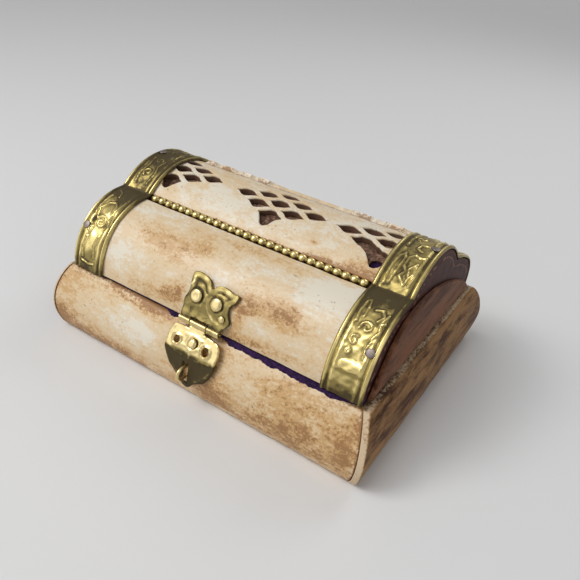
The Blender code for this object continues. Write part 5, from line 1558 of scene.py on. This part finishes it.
    def staple(self) -> Thing:
        """The staple: round wire carried along a U that lies in the side view."""
        share = self.staple_height / (sum(LINES.rims[:2]) / 2)
        face = float(LINES.side_out(share, Side.FRONT))
        half, root = self.staple_bend, self.staple_root - face
        crown = face + self.staple_reach - half - self.staple_wire
        turn = np.linspace(0.0, np.pi, 15)
        bow = np.stack([-crown - half * np.sin(turn), self.staple_height + half * np.cos(turn)], axis=1)
        upper, lower = self.staple_height + half, self.staple_height - half
        path = SidePath(np.concatenate(
            [[(root, upper), (-face, upper)], bow, [(-face, lower), (root, lower)]]))
        across, over = self.staple_wire * np.sin(around(16)), self.staple_wire * np.cos(around(16))
        grid = path.laid(across[None, :], path.arcs[:, None], over[None, :])
        numbers = {"relief": np.full(grid.size // 3, 0.35)}
        made = tube("staple_wire", grid, self.brass, numbers, SOFT_CREASE)
        return seat(made, Body.CASE, "hasp_brass", "hasp_staple")

    def build(self) -> None:
        """Builds the whole hasp."""
        self.plate()
        path = LINES.lobe()
        head = 2 * LINES.gap + LINES.leaf
        nails = (("left_eye", "hasp_left_nail", self.eyes[0], Nail(2.1, 0.9, 5.0, dish=0.45)),
                 ("right_eye", "hasp_right_nail", self.eyes[1], Nail(2.1, 0.9, 5.0, dish=0.05)),
                 ("plate_tack", "hasp_tack", self.tack, Nail(1.1, 0.6, 5.0)))
        for name, node, spot, nail in nails:
            seat(nail.on(path, name, *spot, head, self.brass), Body.LID, "hasp_brass", node)
        self.swinging_leaf()
        self.staple()


@dataclass
class RearHinges:
    """The rear hinges: their leaves and pins are the solids', and their nails are made anew."""

    brass: Finish
    centre: float = 32.0
    nail_x: float = 5.2
    nail_arc: float = 7.4

    def build(self) -> None:
        """Drives the nails of both leaves of both hinges."""
        share = np.linspace(1.0, 0.0, 60)
        case = SidePath(np.stack([LINES.side_out(share, Side.REAR), share * LINES.rims[2]], axis=1))
        lobe = LINES.rear_lobe()
        nail = Nail(head=1.1, rise=0.5, length=4.2)
        height = 2 * LINES.gap + LINES.leaf
        leaves = ((Body.LID, "lid", lobe, lobe.total - self.nail_arc),
                  (Body.CASE, "case", case, self.nail_arc))
        xs = [end.value * self.centre + side * self.nail_x for end in End for side in (-1, 1)]
        for number, x in enumerate(xs, 1):
            for body, word, path, arc in leaves:
                made = nail.on(path, f"{word}_hinge_head_{number}", x, arc, height, self.brass)
                seat(made, body, "hinge_brass", f"{word}_hinge_nail_{number}")


@dataclass
class Lining:
    """The velvet: a floor pad, four wall pieces folded over the rim, and the lid's arch and end pads."""

    velvet: Finish
    pile: float = 0.8
    fold: float = 0.4
    nose: tuple[float, float] = (0.45, 0.12)
    mesh: tuple[float, float] = (1.6, 1.2)
    floor: float = 3.3
    wall_y: float = 36.1
    wall_x: float = 54.1
    ridge_foot: float = 1.5
    lap: float = 4.4
    floor_edge: float = 1.25
    floor_crown: float = 0.55
    puffs: tuple = ((0.24, 0.07), (0.34, 0.11), (0.52, 0.13), (0.7, 0.12), (0.84, 0.09), (-0.2, 0.04))
    bulge: tuple = ((0.75, 0.0), (1.6, 1.1), (1.5, 0.6), (1.0, 0.1), (0.6, 0.0))
    bulge_from: int = 3

    def section(self, wall: float, edge: float, rim: Grid) -> tuple[Grid, Grid]:
        """A wall piece's cross-section as distances out and heights, for each rim height.

        It goes up inside the wall, out over the rim to a round nose, and back and down its lined face.
        """
        out = wall - LINES.gap
        inside = out - self.pile
        top = LINES.seam - LINES.gap
        rest = rim + LINES.gap
        turn = 0.2 * (top - rest)
        flat, tip = edge - self.nose[0], edge - self.nose[1]
        points = ((out, self.floor), (out, rest - 0.6), (out + 0.6, rest), (flat, rest),
                  (tip, rest + turn), (edge, (rest + top) / 2), (tip, top - turn),
                  (flat, top), (inside + 0.9, top), (inside + 0.35, top - 0.1),
                  (inside + 0.05, top - 0.5), (inside, top - 1.2), (inside, 14.0),
                  (inside, self.floor + 0.6), (inside + 0.1, self.floor))
        return np.array([x for x, _ in points]), np.stack([up + 0.0 * rim for _, up in points])

    def wall(self, word: str, wall: float, edge: float, other_wall: float, other_edge: float,
             rims: tuple[float, float], along_x: bool, sign: int) -> Thing:
        """One wall piece: its section is carried from mitre to mitre, with a slight plush unevenness."""
        puffs = self.puffs if word == "front" else ()
        end = np.linspace(-1.0, 1.0, 280 if puffs else 60)
        rim = rims[0] + (rims[1] - rims[0]) * (end + 1) / 2
        outs, ups = self.section(wall, edge, rim)
        near = other_wall - 2 * LINES.gap - self.pile
        share = np.clip((outs - (wall - LINES.gap)) / (edge - wall + LINES.gap), 0.0, 1.0)
        reach = near + (other_edge - LINES.gap - near) * share
        along = reach[:, None] * end[None, :]
        plush = 0.05 * ripples(71, 1.4)(along, ups + outs[:, None])
        puff = sum((ridge(end - middle, wide) for middle, wide in puffs), 0.0 * end)
        spot = end * edge, 0.0 * end
        fuzz = 0.10 * ripples(74, 3.0)(*spot) + 0.07 * ripples(75, 0.9)(*spot)
        puff = np.minimum(puff, 1.0) * (0.8 + fuzz)
        swell = np.zeros((len(outs), 2))
        swell[self.bulge_from:self.bulge_from + len(self.bulge)] = self.bulge
        out = outs[:, None] + np.minimum(plush, 0.0) + swell[:, :1] * puff
        ups = ups - swell[:, 1:] * puff
        spots = (along, sign * out, ups) if along_x else (sign * out, along, ups)
        grid = np.stack(spots, axis=-1)
        rows, columns = grid.shape[:2]
        start = np.arange(rows) * columns
        caps = [start, start[::-1] + columns - 1]
        made = piece(f"{word}_lining", grid.reshape(-1, 3), [quads(rows, columns, wrap_rows=True), caps],
                     self.velvet, crease=SOFT_CREASE)
        seat(made, Body.CASE, "velvet", f"{word}_velvet")
        return made

    def floor_pad(self) -> Thing:
        """The floor's pad: crowned in the middle, drawn down to its round edges."""
        half_y = self.wall_y - 2 * LINES.gap - self.pile
        half_x = self.wall_x - 3 * LINES.gap - self.pile
        y, x = net(graded(-half_y, half_y, *self.mesh), graded(-half_x, half_x, *self.mesh))
        flat = np.stack([x, y, np.full(x.shape, self.floor)], axis=-1)
        distance = border_distance(flat)
        crown = self.floor_edge + self.floor_crown * (1.0 - fade(distance, 7.0))
        crown = crown + 0.06 * ripples(72, 9.0)(x, y)
        top = flat + np.array([0.0, 0.0, 1.0]) * (crown - worn(distance, 0.8))[..., None]
        made = slab("floor_pad", top, flat, self.velvet, crease=SOFT_CREASE)
        seat(made, Body.CASE, "velvet", "floor_velvet")
        return made

    def lid_line(self) -> SidePath:
        """The lid's inner line: behind the curved boards and under the fretwork's backing."""
        lobe, dome, rear = LINES.lobe(), LINES.dome(), LINES.rear_lobe()
        under = LINES.bone + LINES.gap
        foot = LINES.bead_seat + self.ridge_foot
        front = lobe.place(np.linspace(0.0, lobe.total - foot, 40), -under - LINES.board)
        arch = dome.place(np.linspace(self.lap, dome.total - self.lap, 50), -under - LINES.backing)
        back = rear.place(np.linspace(foot, rear.total, 40), -under - LINES.board)
        return SidePath(np.concatenate([front, arch, back])).softened(0.45)

    def lid_lining(self) -> None:
        """The lid's arch and its two end pads."""
        path = self.lid_line()
        pad_in = LINES.bone_half - self.pile
        half = pad_in - LINES.gap
        arc, x = net(graded(0.0, path.total, 1.0, 0.5), graded(-half, half, 1.6, 0.5))
        plush = 0.06 * ripples(73, 7.0)(x, arc)
        inner = path.laid(x, arc, -LINES.gap - self.pile + 0.06 + plush)
        made = slab("lid_lining", inner, path.laid(x, arc, -LINES.gap), self.velvet, crease=SOFT_CREASE)
        seat(made, Body.LID, "velvet", "lid_velvet")
        outline = path.place(np.linspace(0.0, path.total, 110), -LINES.gap)
        for end in End:
            made = pierced(f"{end.word}_lid_pad", [outline], upright(end, pad_in, -1), self.pile,
                           self.velvet, 1.4, 0.4)
            seat(made, Body.LID, "velvet", f"lid_{end.word}_velvet")

    def build(self) -> None:
        """Builds the whole lining."""
        left, right, rear = LINES.rims
        deep = (self.wall_y, LINES.half_depth - self.fold)
        long = (self.wall_x, LINES.half_length)
        self.wall("front", *deep, *long, (left, right), True, -1)
        self.wall("rear", *deep, *long, (rear, rear), True, 1)
        self.wall("left", *long, *deep, (left, rear), False, -1)
        self.wall("right", *long, *deep, (right, rear), False, 1)
        self.floor_pad()
        self.lid_lining()


@dataclass
class Solids:
    """Finishes on the solids whose shapes are right as they are."""

    finishes: Mapping[str, Sequence[str]] = field(default_factory=lambda: {
        "wood": ("bottom_board", *(f"{way.word}_wall" for way in (*Side, *End)),
                 "lid_front_board", "lid_rear_board"),
        "backing": ("fret_backing",),
        "hinge_brass": tuple(f"{end.word}_hinge_{part}"
                             for part in ("case_leaf", "lid_leaf", "pin") for end in End),
        "hasp_brass": ("hasp_pin",),
    })

    def dress(self, materials: Mapping[str, Finish]) -> None:
        """Puts each finish on its nodes."""
        for key, names in self.finishes.items():
            for name in names:
                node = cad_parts[name]
                for slot in node.material_slots:
                    slot.link = "OBJECT"
                    slot.material = materials[key]
                log.info("%s keeps its shape and is finished in %s", name, key)


@dataclass
class Studio:
    """A pale floor, soft lamps and the camera at the photograph's place."""

    lens: float = 37.5635
    sensor: float = 36.0
    floor_tone: float = 0.8
    world: float = 0.2
    backdrop: float = 0.5
    sky: float = 0.9
    sun_way: tuple = (0.35, 0.4, -0.85)
    sun_angle: float = 0.7
    aim: tuple = (0.0, 0.0, 0.03)
    lamps: tuple = (
        ("key", (-0.34, -0.36, 0.52), 0.25, 1.5), ("front", (-0.38, -0.62, 0.20), 0.50, 0.75),
        ("fill", (0.60, -0.25, 0.40), 0.35, 0.35), ("back", (0.15, 0.50, 0.55), 0.30, 0.8))
    view: tuple = (
        (0.8322633, -0.3613242, 0.4204553, 0.0983728), (0.5462752, 0.4052901, -0.7330234, -0.1608094),
        (0.0944527, 0.8397528, 0.5346905, 0.1382468), (0.0, 0.0, 0.0, 1.0))

    def camera(self) -> None:
        """Sets up the camera from its place and directions, one column each for right, up and back."""
        data = bpy.data.cameras.new("view")
        data.lens = self.lens
        data.sensor_width = self.sensor
        data.clip_start = 0.01
        made = link("view", data)
        made.matrix_world = Matrix(self.view)
        bpy.context.scene.camera = made

    def floor(self) -> None:
        """A wide pale floor under the chest."""
        graph = Graph("studio_floor")
        shade = graph.noise(40.0, 2.0, 0.5) * 0.05
        tone = graph.mix(shade, (self.floor_tone,) * 3, (0.7, 0.7, 0.7))
        reach, low = 3.0, -0.0001
        mesh = bpy.data.meshes.new("floor")
        corners = [(-reach, -reach, low), (reach, -reach, low), (reach, reach, low), (-reach, reach, low)]
        mesh.from_pydata(corners, [], [(0, 1, 2, 3)])
        mesh.materials.append(graph.finish(Base_Color=tone, Roughness=0.6))
        link("floor", mesh)

    def lamp(self, name: str, kind: str, power: float, way: Vector) -> Thing:
        """A lamp that shines one way."""
        data = bpy.data.lights.new(name, kind)
        data.energy = power
        made = link(name, data)
        made.rotation_euler = way.to_track_quat("-Z", "Y").to_euler()
        return made

    def lights(self) -> None:
        """Soft lamps that look at the chest, a wide sun, and a plain pale world.

        The world looks brighter to the camera, and in and through glossy things, than it shines.
        """
        for name, place, size, power in self.lamps:
            made = self.lamp(name, "AREA", power, Vector(self.aim) - Vector(place))
            made.data.size = size
            made.location = place
        self.lamp("sky", "SUN", self.sky, Vector(self.sun_way)).data.angle = self.sun_angle
        graph = Graph("studio", world=True)
        seen = [graph.node("ShaderNodeLightPath", {}, {}, f"Is {kind} Ray")
                for kind in ("Camera", "Glossy", "Transmission")]
        either = graph.node("ShaderNodeMath", {"operation": "MAXIMUM"}, {0: seen[0], 1: seen[1]})
        any_of = graph.node("ShaderNodeMath", {"operation": "MAXIMUM"}, {0: either, 1: seen[2]})
        strength = graph.node("ShaderNodeMapRange", {}, {
            "Value": any_of, "To Min": self.world, "To Max": self.backdrop})
        bpy.context.scene.world = graph.finish(Color=(1.0, 1.0, 1.0, 1.0), Strength=strength)

    def build(self) -> None:
        """Sets the whole stage."""
        bpy.context.scene.view_settings.view_transform = "Standard"
        self.camera()
        self.floor()
        self.lights()


def main() -> None:
    """Builds the sub-assemblies in order."""
    logging.basicConfig(level=logging.INFO, format="%(name)s: %(message)s")
    Studio().build()
    finishes = {
        "bone": BoneFinish(),
        "stained_bone": StainedBoneFinish("dyed_bone", light=0.05),
        "lid_bone": StainedBoneFinish("dyed_lid_bone", tan=(0.23, 0.095, 0.045), worn=(0.44, 0.27, 0.15),
                                      light=0.12),
        "stained_wood": WoodFinish("maroon_wood", (0.022, 0.006, 0.004), (0.095, 0.024, 0.016), rough=0.5,
                                   coat=0.0),
        "wood": WoodFinish("carcass_wood", (0.16, 0.075, 0.032), (0.34, 0.19, 0.09), rough=0.6, coat=0.0),
        "backing": ClothFinish("fret_board", (0.08, 0.04, 0.027), (0.42, 0.25, 0.16), 1.2, 0.0, 0.75, 0.2),
        "velvet": ClothFinish("purple_velvet", (0.010, 0.003, 0.022), (0.066, 0.018, 0.112), 0.6, 0.2,
                              depth=0.3),
        "strap_brass": BrassFinish("strap_brass_aged"),
        "hasp_brass": BrassFinish("hasp_brass_aged", bright=(0.76, 0.61, 0.30), rough=0.28),
        "bead_brass": BrassFinish("bead_brass_aged", bright=(0.78, 0.62, 0.27), rough=0.22, age=0.1),
        "hinge_brass": BrassFinish("hinge_brass_aged", age=0.25, rough=0.32),
        "steel": BrassFinish("nail_steel", bright=(0.23, 0.19, 0.17), olive=(0.13, 0.11, 0.10), rough=0.46),
    }
    finishes = {key: finish.build() for key, finish in finishes.items()}
    CaseBone(finishes["bone"], finishes["stained_bone"]).build()
    LidBone(finishes["bone"], finishes["lid_bone"]).build()
    EndBoards(finishes["stained_wood"]).build()
    Straps(finishes["strap_brass"], finishes["steel"]).build()
    BeadRows(finishes["bead_brass"]).build()
    Hasp(finishes["hasp_brass"]).build()
    RearHinges(finishes["hinge_brass"]).build()
    Lining(finishes["velvet"]).build()
    Solids().dress(finishes)


if __name__ == "__main__":
    main()
